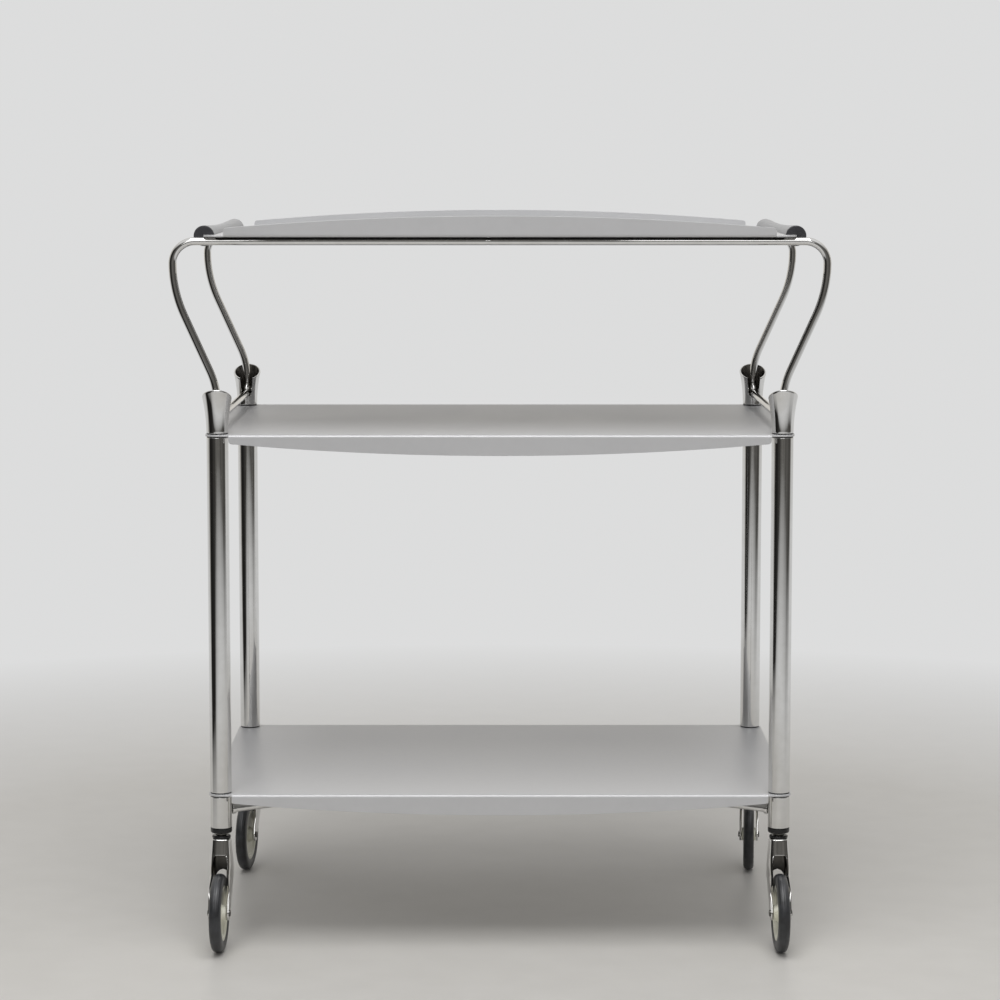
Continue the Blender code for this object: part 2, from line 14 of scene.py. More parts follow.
import bmesh
import bpy
import numpy as np
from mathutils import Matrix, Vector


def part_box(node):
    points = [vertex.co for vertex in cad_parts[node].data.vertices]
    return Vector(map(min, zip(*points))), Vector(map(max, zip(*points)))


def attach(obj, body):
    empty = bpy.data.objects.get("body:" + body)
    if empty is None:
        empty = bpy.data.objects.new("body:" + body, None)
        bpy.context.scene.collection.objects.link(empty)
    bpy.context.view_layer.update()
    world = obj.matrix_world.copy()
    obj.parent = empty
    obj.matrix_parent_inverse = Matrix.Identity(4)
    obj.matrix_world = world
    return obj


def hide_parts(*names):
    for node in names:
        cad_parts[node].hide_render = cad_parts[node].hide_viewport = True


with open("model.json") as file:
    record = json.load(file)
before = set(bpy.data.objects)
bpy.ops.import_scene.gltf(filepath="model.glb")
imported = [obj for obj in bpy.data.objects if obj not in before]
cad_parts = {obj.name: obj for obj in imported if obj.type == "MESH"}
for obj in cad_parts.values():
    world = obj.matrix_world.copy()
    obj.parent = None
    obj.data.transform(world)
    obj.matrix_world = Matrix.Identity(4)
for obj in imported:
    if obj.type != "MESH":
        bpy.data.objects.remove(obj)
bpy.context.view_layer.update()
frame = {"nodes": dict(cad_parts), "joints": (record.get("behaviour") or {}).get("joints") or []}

# %% [markdown]
# ## Where things are
#
# Copying numbers from one file into another is how two models drift apart. So the places come from
# the boxes of the model's own nodes: the posts give the four corners, the shelves give the levels,
# and the wire's box gives how far the hoops reach out. Only bend radii and small edge rounds, which
# no box can tell, are written down here.

# %% Corners and levels
CORNERS = ("front_left", "front_right", "rear_left", "rear_right")


def middle(node):
    """The middle of a node's box, as an array."""
    low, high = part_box(node)
    return (np.array(low) + np.array(high)) / 2


def span(node, axis):
    """A node's lowest and highest coordinate along one axis (0, 1 or 2)."""
    low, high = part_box(node)
    return low[axis], high[axis]


post_axis = {corner: middle("post_" + corner)[:2] for corner in CORNERS}
half_x = (post_axis["front_right"][0] - post_axis["front_left"][0]) / 2
half_y = (post_axis["rear_left"][1] - post_axis["front_left"][1]) / 2
centre_y = (post_axis["rear_left"][1] + post_axis["front_left"][1]) / 2
bottom_top = span("bottom_shelf", 2)[1]
middle_top = span("middle_shelf", 2)[1]
tray_under = span("tray", 2)[0]
plate_half_x = span("tray", 0)[1]
margin = plate_half_x - half_x
gap = span("post_front_left", 2)[0] - bottom_top
print("posts at +-", round(half_x, 4), "and +-", round(half_y, 4), "about y", round(centre_y, 4))


# %% Showing things
def show(name, data):
    """A new object with its data, linked to the scene."""
    shown = bpy.data.objects.new(name, data)
    bpy.context.scene.collection.objects.link(shown)
    return shown


def points_of(*coordinates):
    """Arrays of coordinates, broadcast to one shape and stacked as points."""
    return np.stack(np.broadcast_arrays(*coordinates), axis=-1)


print("show and points_of ready")

# %% [markdown]
# ## The camera
#
# The cart is seen from the front and a little above, from about three metres off. A long lens at
# that distance keeps the posts almost parallel, as a catalogue picture does. A wider lens close by
# would show the same cart with splayed legs.

# %% Camera
CAMERA_DISTANCE = 3.227  # from the posts' middle
CAMERA_HEIGHT = 0.8005
CAMERA_PITCH = 6.37  # degrees below level
CAMERA_LENS = 109.1

camera_data = bpy.data.cameras.new("camera")
camera_data.lens = CAMERA_LENS
camera = show("camera", camera_data)
camera.location = (0, centre_y - CAMERA_DISTANCE, CAMERA_HEIGHT)
camera.rotation_euler = (math.radians(90 - CAMERA_PITCH), 0, 0)
bpy.context.scene.camera = camera
bpy.context.scene.view_settings.view_transform = "Standard"
print("camera", CAMERA_DISTANCE, "m away, lens", CAMERA_LENS, "mm")

# %% [markdown]
# ## Surfaces from arrays
#
# Every new piece is a grid of points worked out with numpy: rows along one parameter, columns along
# the other. Joining each point to its neighbours gives the faces. The alternative is to push
# primitives around with operators, which is slower to run and hard to read back.
#
# Three helpers do almost everything. One turns sharp corners into arcs, one joins a grid into a
# mesh, and one sweeps a closed outline along a path.


# %% Rounded corners
def rounded(corners, radii, steps=6, closed=True):
    """A path whose corners are arcs.

    At each corner the arc's centre lies on the bisector at radius / cos(turn / 2), and its two ends
    lie back along the sides by radius * tan(turn / 2). Points between are mixed from the end
    directions by sin((1 - s) * turn) and sin(s * turn), over sin(turn).
    """
    corners = np.asarray(corners, float)
    radii = np.broadcast_to(np.asarray(radii, float), len(corners))
    to_last = np.roll(corners, 1, axis=0) - corners
    to_next = np.roll(corners, -1, axis=0) - corners
    inner = corners if closed else corners[1:-1]
    if not closed:
        to_last, to_next, radii = to_last[1:-1], to_next[1:-1], radii[1:-1]
    to_last = to_last / np.linalg.norm(to_last, axis=1, keepdims=True)
    to_next = to_next / np.linalg.norm(to_next, axis=1, keepdims=True)
    turn = np.pi - np.arccos(np.clip((to_last * to_next).sum(1), -1, 1))
    turn = np.clip(turn, 1e-4, None)[:, None]
    radius = radii[:, None]
    bisector = to_last + to_next
    bisector = bisector / np.linalg.norm(bisector, axis=1, keepdims=True)
    centre = inner + bisector * radius / np.cos(turn / 2)
    start = inner + to_last * radius * np.tan(turn / 2) - centre
    end = inner + to_next * radius * np.tan(turn / 2) - centre
    share = np.linspace(0, 1, steps + 1)[None, :, None]
    turn = turn[:, :, None]
    near = start[:, None, :] * np.sin((1 - share) * turn)
    far = end[:, None, :] * np.sin(share * turn)
    points = centre[:, None, :] + (near + far) / np.sin(turn)
    points = points.reshape(-1, corners.shape[1])
    if not closed:
        points = np.vstack([corners[:1], points, corners[-1:]])
    return points


SUPPORT = 0.0003
LONG = 4  # a segment gets support points if it is longer than this many insets


def supported(points, inset=SUPPORT, closed=True):
    """The path with two more points on each long segment, an inset in from its ends.

    A smooth normal is an average over a point's faces. These points keep a small round's tilt from
    being spread over the whole length of the flat face beside it.
    """
    after = np.roll(points, -1, axis=0)
    length = np.linalg.norm(after - points, axis=1)
    long = length > LONG * inset
    if not closed:
        long[-1] = False
    step = (after - points) * (inset / np.maximum(length, 1e-9))[:, None]
    trio = np.stack([points, points + step, after - step], axis=1)
    keep = np.stack([np.ones_like(long), long, long], axis=1)
    return trio[keep]


# %% A grid of points as a mesh
SHARP_ANGLE = math.radians(40)
MERGE = 2e-6
made = []


def grid_faces(rows, columns, wrap_rows=False, wrap_columns=True):
    """Quads that join each grid point to the next in its row and its column."""
    i = np.arange(rows if wrap_rows else rows - 1)[:, None]
    j = np.arange(columns if wrap_columns else columns - 1)[None, :]
    up, across = (i + 1) % rows, (j + 1) % columns
    quads = (i * columns + j, up * columns + j, up * columns + across, i * columns + across)
    return np.stack([np.broadcast_to(q, (i.size, j.size)) for q in quads], axis=-1).reshape(-1, 4)


def finished(name, points, faces, finish, body, nodes=()):
    """A mesh piece at the origin: doubles merged, faces outward, smooth but for its sharp edges."""
    mesh = bpy.data.meshes.new(name)
    mesh.from_pydata(np.asarray(points).reshape(-1, 3).tolist(), [], faces)
    shape = bmesh.new()
    shape.from_mesh(mesh)
    bmesh.ops.remove_doubles(shape, verts=shape.verts, dist=MERGE)
    bmesh.ops.recalc_face_normals(shape, faces=shape.faces)
    shape.to_mesh(mesh)
    shape.free()
    mesh.shade_smooth()
    mesh.set_sharp_from_angle(angle=SHARP_ANGLE)
    mesh.materials.append(finish)
    piece = show(name, mesh)
    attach(piece, body)
    if nodes:
        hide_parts(*nodes)
    made.append(name)
    return piece


def grid_piece(name, points, finish, body, nodes=(), wrap_rows=False, capped=True):
    """A grid of rows, each a closed loop of columns.

    Rows that don't wrap get a flat cap at each end, unless they close on the axis by themselves.
    """
    rows, columns = points.shape[:2]
    faces = grid_faces(rows, columns, wrap_rows).tolist()
    if capped and not wrap_rows:
        faces.append(list(range(columns)))
        faces.append(list(range((rows - 1) * columns, rows * columns)))
    return finished(name, points, faces, finish, body, nodes)


def joined(grids, wrap_rows=False):
    """Points and faces of several grids, as one mesh."""
    points, faces, start = [], [], 0
    for rows in grids:
        points.append(rows.reshape(-1, 3))
        faces += (grid_faces(*rows.shape[:2], wrap_rows) + start).tolist()
        start += rows.shape[0] * rows.shape[1]
    return np.concatenate(points), faces


# %% Turned and swept shapes
UPRIGHT = 0.9  # a direction with more z than this counts as upright


def frame_of(origin, along, across=None):
    """A local frame: the origin, and three axes with the last one along the given direction."""
    along = np.asarray(along, float) / np.linalg.norm(along)
    if across is None:
        across = (1, 0, 0) if abs(along[2]) > UPRIGHT else (0, 0, 1)
    across = np.asarray(across, float)
    across = across - along * (across @ along)
    across = across / np.linalg.norm(across)
    return np.asarray(origin, float), across, np.cross(along, across), along


def upright(corner):
    """The frame whose last axis is a post's own, from the floor up."""
    return frame_of((*post_axis[corner], 0), (0, 0, 1))


def placed(local, place):
    """Local (x, y, z) points put into the world by a frame."""
    origin, across, third, along = place
    return origin + local[..., :1] * across + local[..., 1:2] * third + local[..., 2:3] * along


def turned(profile, segments):
    """Rows of a solid of revolution about local z: each profile point (radius, height) is a circle
    (radius * cos(a), radius * sin(a), height)."""
    profile = np.asarray(profile, float)
    angle = np.linspace(0, 2 * np.pi, segments, endpoint=False)
    radius, height = profile[:, :1], profile[:, 1:]
    return points_of(radius * np.cos(angle), radius * np.sin(angle), height)


def turned_piece(name, profile, place, finish, body, nodes=(), segments=64):
    """A turned piece. A profile that starts on the axis ends there too; any other is a ring."""
    ring = profile[0][0] > 1e-9
    profile = supported(np.asarray(profile, float), closed=ring)
    points = placed(turned(profile, segments), place)
    return grid_piece(name, points, finish, body, nodes, wrap_rows=ring, capped=False)


def swept(path, radius, sides, closed=False):
    """Rows of a round rod along a path. Each row is a circle across the path's direction.

    The circle's first axis is turned along with the path: it is the last row's, made square to the
    new direction. On a closed path the small twist left over is shared out evenly.
    """
    ahead = np.roll(path, -1, axis=0) - path
    behind = path - np.roll(path, 1, axis=0)
    if not closed:
        ahead[-1], behind[0] = behind[-1], ahead[0]
    ahead = ahead / np.linalg.norm(ahead, axis=1, keepdims=True)
    behind = behind / np.linalg.norm(behind, axis=1, keepdims=True)
    along = ahead + behind
    along = along / np.linalg.norm(along, axis=1, keepdims=True)
    first = np.empty_like(path)
    start = np.cross(along[0], (0.0, 1.0, 0.0))
    if np.linalg.norm(start) < 0.1:
        start = np.cross(along[0], (1.0, 0.0, 0.0))
    last = start / np.linalg.norm(start)
    for i, direction in enumerate(along):
        last = last - direction * (last @ direction)
        last = last / np.linalg.norm(last)
        first[i] = last
    twist = 0.0
    if closed:
        back = last - along[0] * (last @ along[0])
        back = back / np.linalg.norm(back)
        twist = math.atan2(np.cross(first[0], back) @ along[0], back @ first[0])
    second = np.cross(along, first)
    angle = np.linspace(0, 2 * np.pi, sides, endpoint=False)[None, :]
    angle = angle - twist * np.linspace(0, 1, len(path))[:, None]
    radius = np.broadcast_to(radius, len(path))[:, None, None]
    circle = first[:, None] * np.cos(angle)[..., None] + second[:, None] * np.sin(angle)[..., None]
    return path[:, None] + radius * circle


print("shape helpers ready")

# %% [markdown]
# ## Nodes without the mouse
#
# A small helper makes a node, sets its inputs and returns it, so that a finish reads as a list of
# sentences. Effects that several finishes share go into node groups: a *wear* group for smudges and
# hair scratches, and a *grain* group for the fine tooth of paint, plastic and rubber. The groups
# only give out numbers, and each finish decides what they do to its colour, roughness and relief.


# %% Node helpers
def add_node(tree, kind, settings=None, **inputs):
    """A node with its settings made and its inputs set, or linked where the value is a socket.

    An input's key is its name with _ for a space, or i and a number for its place.
    """
    node = tree.nodes.new(kind)
    for key, value in (settings or {}).items():
        setattr(node, key, value)
    for key, value in inputs.items():
        by_place = key[0] == "i" and key[1:].isdigit()
        socket = node.inputs[int(key[1:])] if by_place else node.inputs[key.replace("_", " ")]
        if isinstance(value, bpy.types.NodeSocket):
            tree.links.new(value, socket)
        else:
            socket.default_value = value
    return node


def spread(tree, value, low, high, out_low=0.0, out_high=1.0):
    """The value carried from low..high onto out_low..out_high, and held at the ends."""
    limits = {"From_Min": low, "From_Max": high, "To_Min": out_low, "To_Max": out_high}
    node = add_node(tree, "ShaderNodeMapRange", {"clamp": True}, Value=value, **limits)
    return node.outputs["Result"]


def vector_maths(tree, operation, **inputs):
    """A vector maths node's outputs."""
    return add_node(tree, "ShaderNodeVectorMath", {"operation": operation}, **inputs).outputs


def object_place(tree):
    """Where the shaded point is, in the object's own metres."""
    return add_node(tree, "ShaderNodeTexCoord").outputs["Object"]


def maths(tree, operation, a, b=0.0):
    """One sum: a and b may be numbers or sockets."""
    return add_node(tree, "ShaderNodeMath", {"operation": operation}, i0=a, i1=b).outputs[0]


def mixed(tree, share, a, b):
    """Colour a turning to colour b as share goes from 0 to 1."""
    node = add_node(tree, "ShaderNodeMix", {"data_type": "RGBA"}, i0=share, i6=a, i7=b)
    return node.outputs[2]


def group_with(name, inputs, outputs):
    """An empty node group with named float inputs and outputs, and its two end nodes."""
    tree = bpy.data.node_groups.new(name, "ShaderNodeTree")
    for label, value in inputs.items():
        socket = tree.interface.new_socket(label, in_out="INPUT", socket_type="NodeSocketFloat")
        socket.default_value = value
    for label in outputs:
        tree.interface.new_socket(label, in_out="OUTPUT", socket_type="NodeSocketFloat")
    return tree, tree.nodes.new("NodeGroupInput"), tree.nodes.new("NodeGroupOutput")


def place_group(tree, group, **inputs):
    """A group put into a tree, with its inputs set or linked."""
    return add_node(tree, "ShaderNodeGroup", {"node_tree": group}, **inputs)


# %% The wear group
SCRATCH_TURNS = ((0.5, (1, 14, 14)), (-1.1, (14, 1, 14)))  # radians, and how much finer each way
SCRATCH_BAND = 0.006  # how near to 0.5 the noise has to be


def make_wear_group():
    """Smudges: a cloudy noise. Scratches: thin bands where either of two stretched noises is near
    0.5, kept only where the cloud is high."""
    tree, given, result = group_with(
        "wear", {"Smudge Size": 0.03, "Scratch Length": 0.05}, ("Smudge", "Scratch")
    )
    where = object_place(tree)
    coarse = maths(tree, "DIVIDE", 1.0, given.outputs["Smudge Size"])
    cloud = add_node(
        tree, "ShaderNodeTexNoise", Vector=where, Scale=coarse, Detail=4.0, Roughness=0.6
    )
    tree.links.new(spread(tree, cloud.outputs["Fac"], 0.35, 0.70), result.inputs["Smudge"])
    lines = []
    for turn, squeeze in SCRATCH_TURNS:
        leaned = add_node(
            tree, "ShaderNodeVectorRotate", {"rotation_type": "EULER_XYZ"},
            Vector=where, Rotation=(turn, turn / 2, turn),
        )
        drawn = vector_maths(tree, "MULTIPLY", i0=leaned.outputs[0], i1=squeeze)[0]
        fine = maths(tree, "DIVIDE", 1.0, given.outputs["Scratch Length"])
        noise = add_node(tree, "ShaderNodeTexNoise", Vector=drawn, Scale=fine, Detail=2.0)
        off = maths(tree, "ABSOLUTE", maths(tree, "SUBTRACT", noise.outputs["Fac"], 0.5))
        lines.append(spread(tree, off, 0.0, SCRATCH_BAND, 1.0, 0.0))
    both = maths(tree, "MAXIMUM", lines[0], lines[1])
    seldom = spread(tree, cloud.outputs["Fac"], 0.50, 0.62)
    tree.links.new(maths(tree, "MULTIPLY", both, seldom), result.inputs["Scratch"])
    return tree


# %% The grain group
MOTTLE_SIZE = 12.0


def make_grain_group():
    """Tooth: fine noise, from 0 to 1. Mottle: the same noise at MOTTLE_SIZE times the size."""
    tree, given, result = group_with("grain", {"Size": 0.0006}, ("Tooth", "Mottle"))
    where = object_place(tree)
    fine = maths(tree, "DIVIDE", 1.0, given.outputs["Size"])
    tooth = add_node(tree, "ShaderNodeTexNoise", Vector=where, Scale=fine, Detail=3.0)
    slow = maths(tree, "DIVIDE", fine, MOTTLE_SIZE)
    mottle = add_node(tree, "ShaderNodeTexNoise", Vector=where, Scale=slow, Detail=3.0)
    tree.links.new(tooth.outputs["Fac"], result.inputs["Tooth"])
    tree.links.new(spread(tree, mottle.outputs["Fac"], 0.3, 0.7), result.inputs["Mottle"])
    return tree


WEAR = make_wear_group()
GRAIN = make_grain_group()
print("groups", WEAR.name, "and", GRAIN.name)


# %% A finish from a short description
COAT_ROUGHNESS = 0.12
SMUDGE_SHARE = 0.6  # of the colour's change; the rest is the mottle's


def finish_with(
    name, light, dark, roughness, metallic=0.0, grain_size=0.0006, relief=0.02, smudge=0.04,
    scratch=0.1, smudge_size=0.03, scratch_length=0.05, specular=0.5, coat=0.0,
):
    """A Principled finish whose colour runs from dark to light with its mottle and smudges.

    Roughness is roughness + smudge * (smudges - 0.5) + scratch * (scratches). The relief is its
    grain's tooth less its scratches, at `relief` millimetres for one.
    """
    made_material = bpy.data.materials.new(name)
    made_material.use_nodes = True
    tree = made_material.node_tree
    shader = tree.nodes["Principled BSDF"]
    shader.inputs["Metallic"].default_value = metallic
    shader.inputs["Specular IOR Level"].default_value = specular
    if coat:
        shader.inputs["Coat Weight"].default_value = coat
        shader.inputs["Coat Roughness"].default_value = COAT_ROUGHNESS
    wear = place_group(tree, WEAR, Smudge_Size=smudge_size, Scratch_Length=scratch_length)
    grain = place_group(tree, GRAIN, Size=grain_size)
    patch = maths(tree, "MULTIPLY", wear.outputs["Smudge"], SMUDGE_SHARE)
    slow = maths(tree, "MULTIPLY", grain.outputs["Mottle"], 1 - SMUDGE_SHARE)
    share = maths(tree, "ADD", patch, slow)
    tree.links.new(mixed(tree, share, (*dark, 1), (*light, 1)), shader.inputs["Base Color"])
    limits = roughness - smudge / 2, roughness + smudge / 2
    dull = spread(tree, wear.outputs["Smudge"], 0.0, 1.0, *limits)
    marks = maths(tree, "MULTIPLY", wear.outputs["Scratch"], scratch)
    tree.links.new(maths(tree, "ADD", dull, marks), shader.inputs["Roughness"])
    height = maths(tree, "SUBTRACT", grain.outputs["Tooth"], wear.outputs["Scratch"])
    bump = add_node(tree, "ShaderNodeBump", Strength=1.0, Distance=relief / 1000, Height=height)
    tree.links.new(bump.outputs["Normal"], shader.inputs["Normal"])
    return made_material


# %% [markdown]
# ## Nine finishes
#
# *Chrome* is almost a mirror: what it shows is the room, so it needs very little of its own, only a
# breath of smudge in the roughness. *Sheet* is a satin silver paint on aluminium, with a fine tooth
# that spreads the light. The plastics are plain colours with a moulded tooth. The *tyre* is dark
# rubber that has greyed on its tread, and the *wheel discs* are a cream plastic that has yellowed.

# %% The finishes
CHROME = finish_with(
    "chrome", (0.74, 0.735, 0.725), (0.66, 0.655, 0.64), 0.055, 1.0,
    relief=0.0004, smudge=0.05, scratch=0.10, smudge_size=0.02, scratch_length=0.03,
)
# Rough chrome for the cups' insides and the forks' inner shells; its dark colour is painted shade.
SHADED_INSIDE_CHROME = finish_with(
    "unpolished_chrome", (0.20, 0.19, 0.175), (0.11, 0.105, 0.095), 0.34, 1.0,
    grain_size=0.0012, relief=0.003, smudge=0.12, smudge_size=0.008, scratch_length=0.02,
)
SHEET = finish_with(
    "silver_sheet", (0.575, 0.575, 0.582), (0.545, 0.546, 0.553), 0.40, 0.22,
    grain_size=0.0007, relief=0.006, smudge=0.05, scratch=0.08,
    smudge_size=0.12, scratch_length=0.10,
)
STEEL = finish_with(
    "zinc_steel", (0.17, 0.165, 0.155), (0.10, 0.097, 0.090), 0.32, 1.0,
    grain_size=0.0012, relief=0.004, smudge=0.12, smudge_size=0.008, scratch_length=0.01,
)
GRIP = finish_with(
    "grip_grey", (0.37, 0.375, 0.385), (0.33, 0.335, 0.345), 0.42,
    grain_size=0.0005, relief=0.012, smudge=0.08, smudge_size=0.05, scratch=0.05,
)
CAP = finish_with(
    "cap_charcoal", (0.036, 0.036, 0.041), (0.026, 0.026, 0.030), 0.45,
    grain_size=0.0006, relief=0.015, smudge=0.08, smudge_size=0.01, scratch=0.05,
)
# Black plastic of the bushes and washers; the rings and strips of painted shade use it too.
BLACK = finish_with(
    "black_plastic", (0.009, 0.009, 0.010), (0.005, 0.005, 0.0055), 0.26,
    grain_size=0.0008, relief=0.006, smudge=0.08, smudge_size=0.01, scratch=0.05, specular=0.4,
)
CREAM = finish_with(
    "hub_cream", (0.80, 0.79, 0.70), (0.70, 0.69, 0.56), 0.42,
    grain_size=0.0010, relief=0.01, smudge=0.10, smudge_size=0.012, scratch=0.08, coat=0.15,
)
TYRE = finish_with(
    "tyre_rubber", (0.038, 0.040, 0.045), (0.006, 0.0065, 0.0075), 0.40,
    grain_size=0.0009, relief=0.015, smudge=0.14, smudge_size=0.012, scratch=0.08,
    scratch_length=0.02, specular=0.6,
)
print("finishes", len(bpy.data.materials))

# %% [markdown]
# ## The two shelves and the tray
#
# All three are the same blank: a rectangle of 2 mm sheet whose corners are round about the posts,
# with a flange folded along each long side. The flange's free edge is bowed, so it is deepest in
# the middle. On the shelves it hangs down, and on the tray it stands up.
#
# A folded sheet could be a flat mesh with Solidify and Bevel, but the bow and the fold would then
# fight. It is easier to say what one slice across the sheet looks like, and to carry that slice
# from one end to the other while its flange grows and shrinks.

# %% One slice across a sheet
SHEET_THICKNESS = 0.002
FOLD_RADIUS = 0.0028  # outside of the fold
EDGE_ROUND = 0.0004
EDGE_BULGE = 0.00025  # how far the free edge stands out in its middle
FLANGE_MIDDLE = 0.0212
FLANGE_END = 0.0092
FLANGE_CORNER = 0.003
FOLD_SUPPORT, EDGE_SUPPORT = 0.0010, 0.0006
ARC_STEPS = 6


def quarter(centre, radius, start, end):
    """Points of an arc in a slice, from one angle to another in degrees."""
    angle = np.radians(np.linspace(start, end, ARC_STEPS + 1))
    centre = np.asarray(centre, float)
    return centre + radius[..., None] * np.stack([np.cos(angle), np.sin(angle)], axis=-1)


def slice_side(depth, folded):
    """One long side of every slice, as (inward, down) points from the outer face to the inner.

    Folded: the outer arc of the fold, down to a rounded free edge at `depth`, and up the inside to
    the fold's inner arc. Flat: the same number of points round the sheet's plain edge.
    """
    count = len(depth)
    full = np.ones((count, 1))
    inner_radius = FOLD_RADIUS - SHEET_THICKNESS
    fold = (FOLD_RADIUS, FOLD_RADIUS)
    outer = quarter(fold, full * FOLD_RADIUS, -90, -180)
    inner = quarter(fold, full * inner_radius, 180, 270)
    beside = np.full((count, 1, 1), FOLD_RADIUS + FOLD_SUPPORT)
    at_top = np.concatenate([beside, 0 * beside], -1)
    at_under = np.concatenate([beside, 0 * beside + SHEET_THICKNESS], -1)
    low = (depth - SHEET_THICKNESS / 2 - EDGE_SUPPORT)[:, None, None]
    outside = np.concatenate([beside * (0, 1) - (0, 0.5 * FOLD_SUPPORT), low * (0, 1)], 1)
    inside = outside[:, ::-1] + (SHEET_THICKNESS, 0)
    bend = (SHEET_THICKNESS / 2, 0)
    edge = quarter(bend, full * SHEET_THICKNESS / 2, 180, 0)
    edge = edge * (1, 2 * EDGE_BULGE / SHEET_THICKNESS)
    edge = edge + np.stack([0 * depth, depth - EDGE_BULGE], -1)[:, None]
    folded_side = np.concatenate([at_top, outer, outside, edge, inside, inner, at_under], axis=1)
    flat_top = quarter((EDGE_ROUND, EDGE_ROUND), full * EDGE_ROUND, -90, -180)
    flat_low = quarter((EDGE_ROUND, SHEET_THICKNESS - EDGE_ROUND), full * EDGE_ROUND, 180, 90)
    run = np.linspace(EDGE_ROUND, FOLD_RADIUS, ARC_STEPS + 1)
    under = np.stack([run, 0 * run + SHEET_THICKNESS], -1)[None] * np.ones((count, 1, 1))
    spare = np.ones((1, 2, 1))
    flat_top = np.concatenate([flat_top, flat_top[:, -1:] * spare], axis=1)
    flat_low = np.concatenate([flat_low, flat_low[:, -1:] * spare], axis=1)
    flat_side = np.concatenate([at_top, flat_top, flat_low, under, at_under], axis=1)
    return np.where(folded[:, None, None], folded_side, flat_side)


# %% Slices from end to end
BOW_SLICES, TIP_SLICES, ROUND_SLICES = 60, 8, 13  # along the bow, its rounded tip, the corner
PLAIN_GAP = 0.0001  # from the flange's end to the first slice without it


def sheet_rows(half_length, outer_z, direction):
    """Slices from the left end to the right. `direction` is -1 for flanges down and +1 for up.

    The sheet's half width is half_y + sqrt(margin^2 - (|x| - half_x)^2) round its corners. The
    flange's depth is end + (middle - end) * (1 - (x / half_length)^2), less its rounded corner.
    """
    round_x = half_x + margin * np.sin(np.linspace(0, np.pi / 2, ROUND_SLICES))
    bow_x = np.linspace(0, half_length - FLANGE_CORNER, BOW_SLICES)
    tip = np.linspace(0, np.pi / 2, TIP_SLICES + 1)[1:]
    tip_x = half_length - FLANGE_CORNER * (1 - np.sin(tip))
    right = np.concatenate([bow_x, tip_x, [half_length + PLAIN_GAP], round_x])
    x = np.concatenate([-right[:0:-1], right])
    folded = np.arange(len(right)) < BOW_SLICES + TIP_SLICES
    folded = np.concatenate([folded[:0:-1], folded])
    depth = FLANGE_END + (FLANGE_MIDDLE - FLANGE_END) * (1 - (x / half_length) ** 2)
    past = np.clip(np.abs(x) - (half_length - FLANGE_CORNER), 0, FLANGE_CORNER)
    depth = depth - (FLANGE_CORNER - np.sqrt(FLANGE_CORNER**2 - past**2))
    beyond = np.clip(np.abs(x) - half_x, 0, margin)
    half_width = half_y + np.sqrt(margin**2 - beyond**2)
    side = slice_side(depth, folded)
    front = np.stack([-half_width[:, None] + side[..., 0], side[..., 1]], -1)
    rear = np.stack([half_width[:, None] - side[..., 0], side[..., 1]], -1)[:, ::-1]
    loop = np.concatenate([front, rear], axis=1)
    return points_of(x[:, None], centre_y + loop[..., 0], outer_z + direction * loop[..., 1])


# %% The three sheets
TRAY_FLANGE_HALF = 0.276
SHELF_FLANGE_STOP = 0.012  # short of the post's axis
shelf_flange_half = half_x - SHELF_FLANGE_STOP
for name, half_length, outer_z, direction, body in (
    ("bottom_shelf", shelf_flange_half, bottom_top, -1, "frame"),
    ("middle_shelf", shelf_flange_half, middle_top, -1, "frame"),
    ("tray", TRAY_FLANGE_HALF, tray_under, 1, "tray"),
):
    rows = sheet_rows(half_length, outer_z, direction)
    grid_piece(name + "_sheet", rows, SHEET, body, (name,))
    print(name, rows.shape[0], "slices of", rows.shape[1], "points")

# %% [markdown]
# ## Posts and brace
#
# The posts are plain chromed tube, clamped above and below each shelf by a rod inside. What makes
# a tube look real is its cut end: the small round there catches a bright line, and under it a thin
# black ring of painted contact shadow fills in to the sheet. The cups' feet stand on such rings.

# %% Tubes
TUBE_WALL = 0.0015
TUBE_END_ROUND = (0.0003, 0.0006, 0.0006, 0.0003)  # inner and outer low, outer and inner high
# Black rings of painted contact shadow at the tubes' ends and under each cup's foot
SHADE_RING_HEIGHT = 0.0008
SHADE_RING_INSET = 0.0003
SHADE_RING_GAP = 0.0001  # clear of the part above, and the painted shadow ring's edge round
POST_SEGMENTS, SHADE_RING_SEGMENTS = 96, 72


def ring_section(inner, outer, low, high, edge):
    """The section of a ring with its four corners rounded."""
    corners = [(inner, low), (outer, low), (outer, high), (inner, high)]
    return rounded(corners, edge, 3)


def shade_ring_rows(low, place):
    """A thin black ring, a little narrower than the tube, filling the ring height from one height
    up.
    It is painted shadow: the contact shade where a tube's end meets a sheet, or under a cup's foot.
    """
    outer = tube_radius - SHADE_RING_INSET
    section = ring_section(outer - TUBE_WALL, outer, low, low + SHADE_RING_HEIGHT - SHADE_RING_GAP, SHADE_RING_GAP)
    return placed(turned(section, SHADE_RING_SEGMENTS), place)


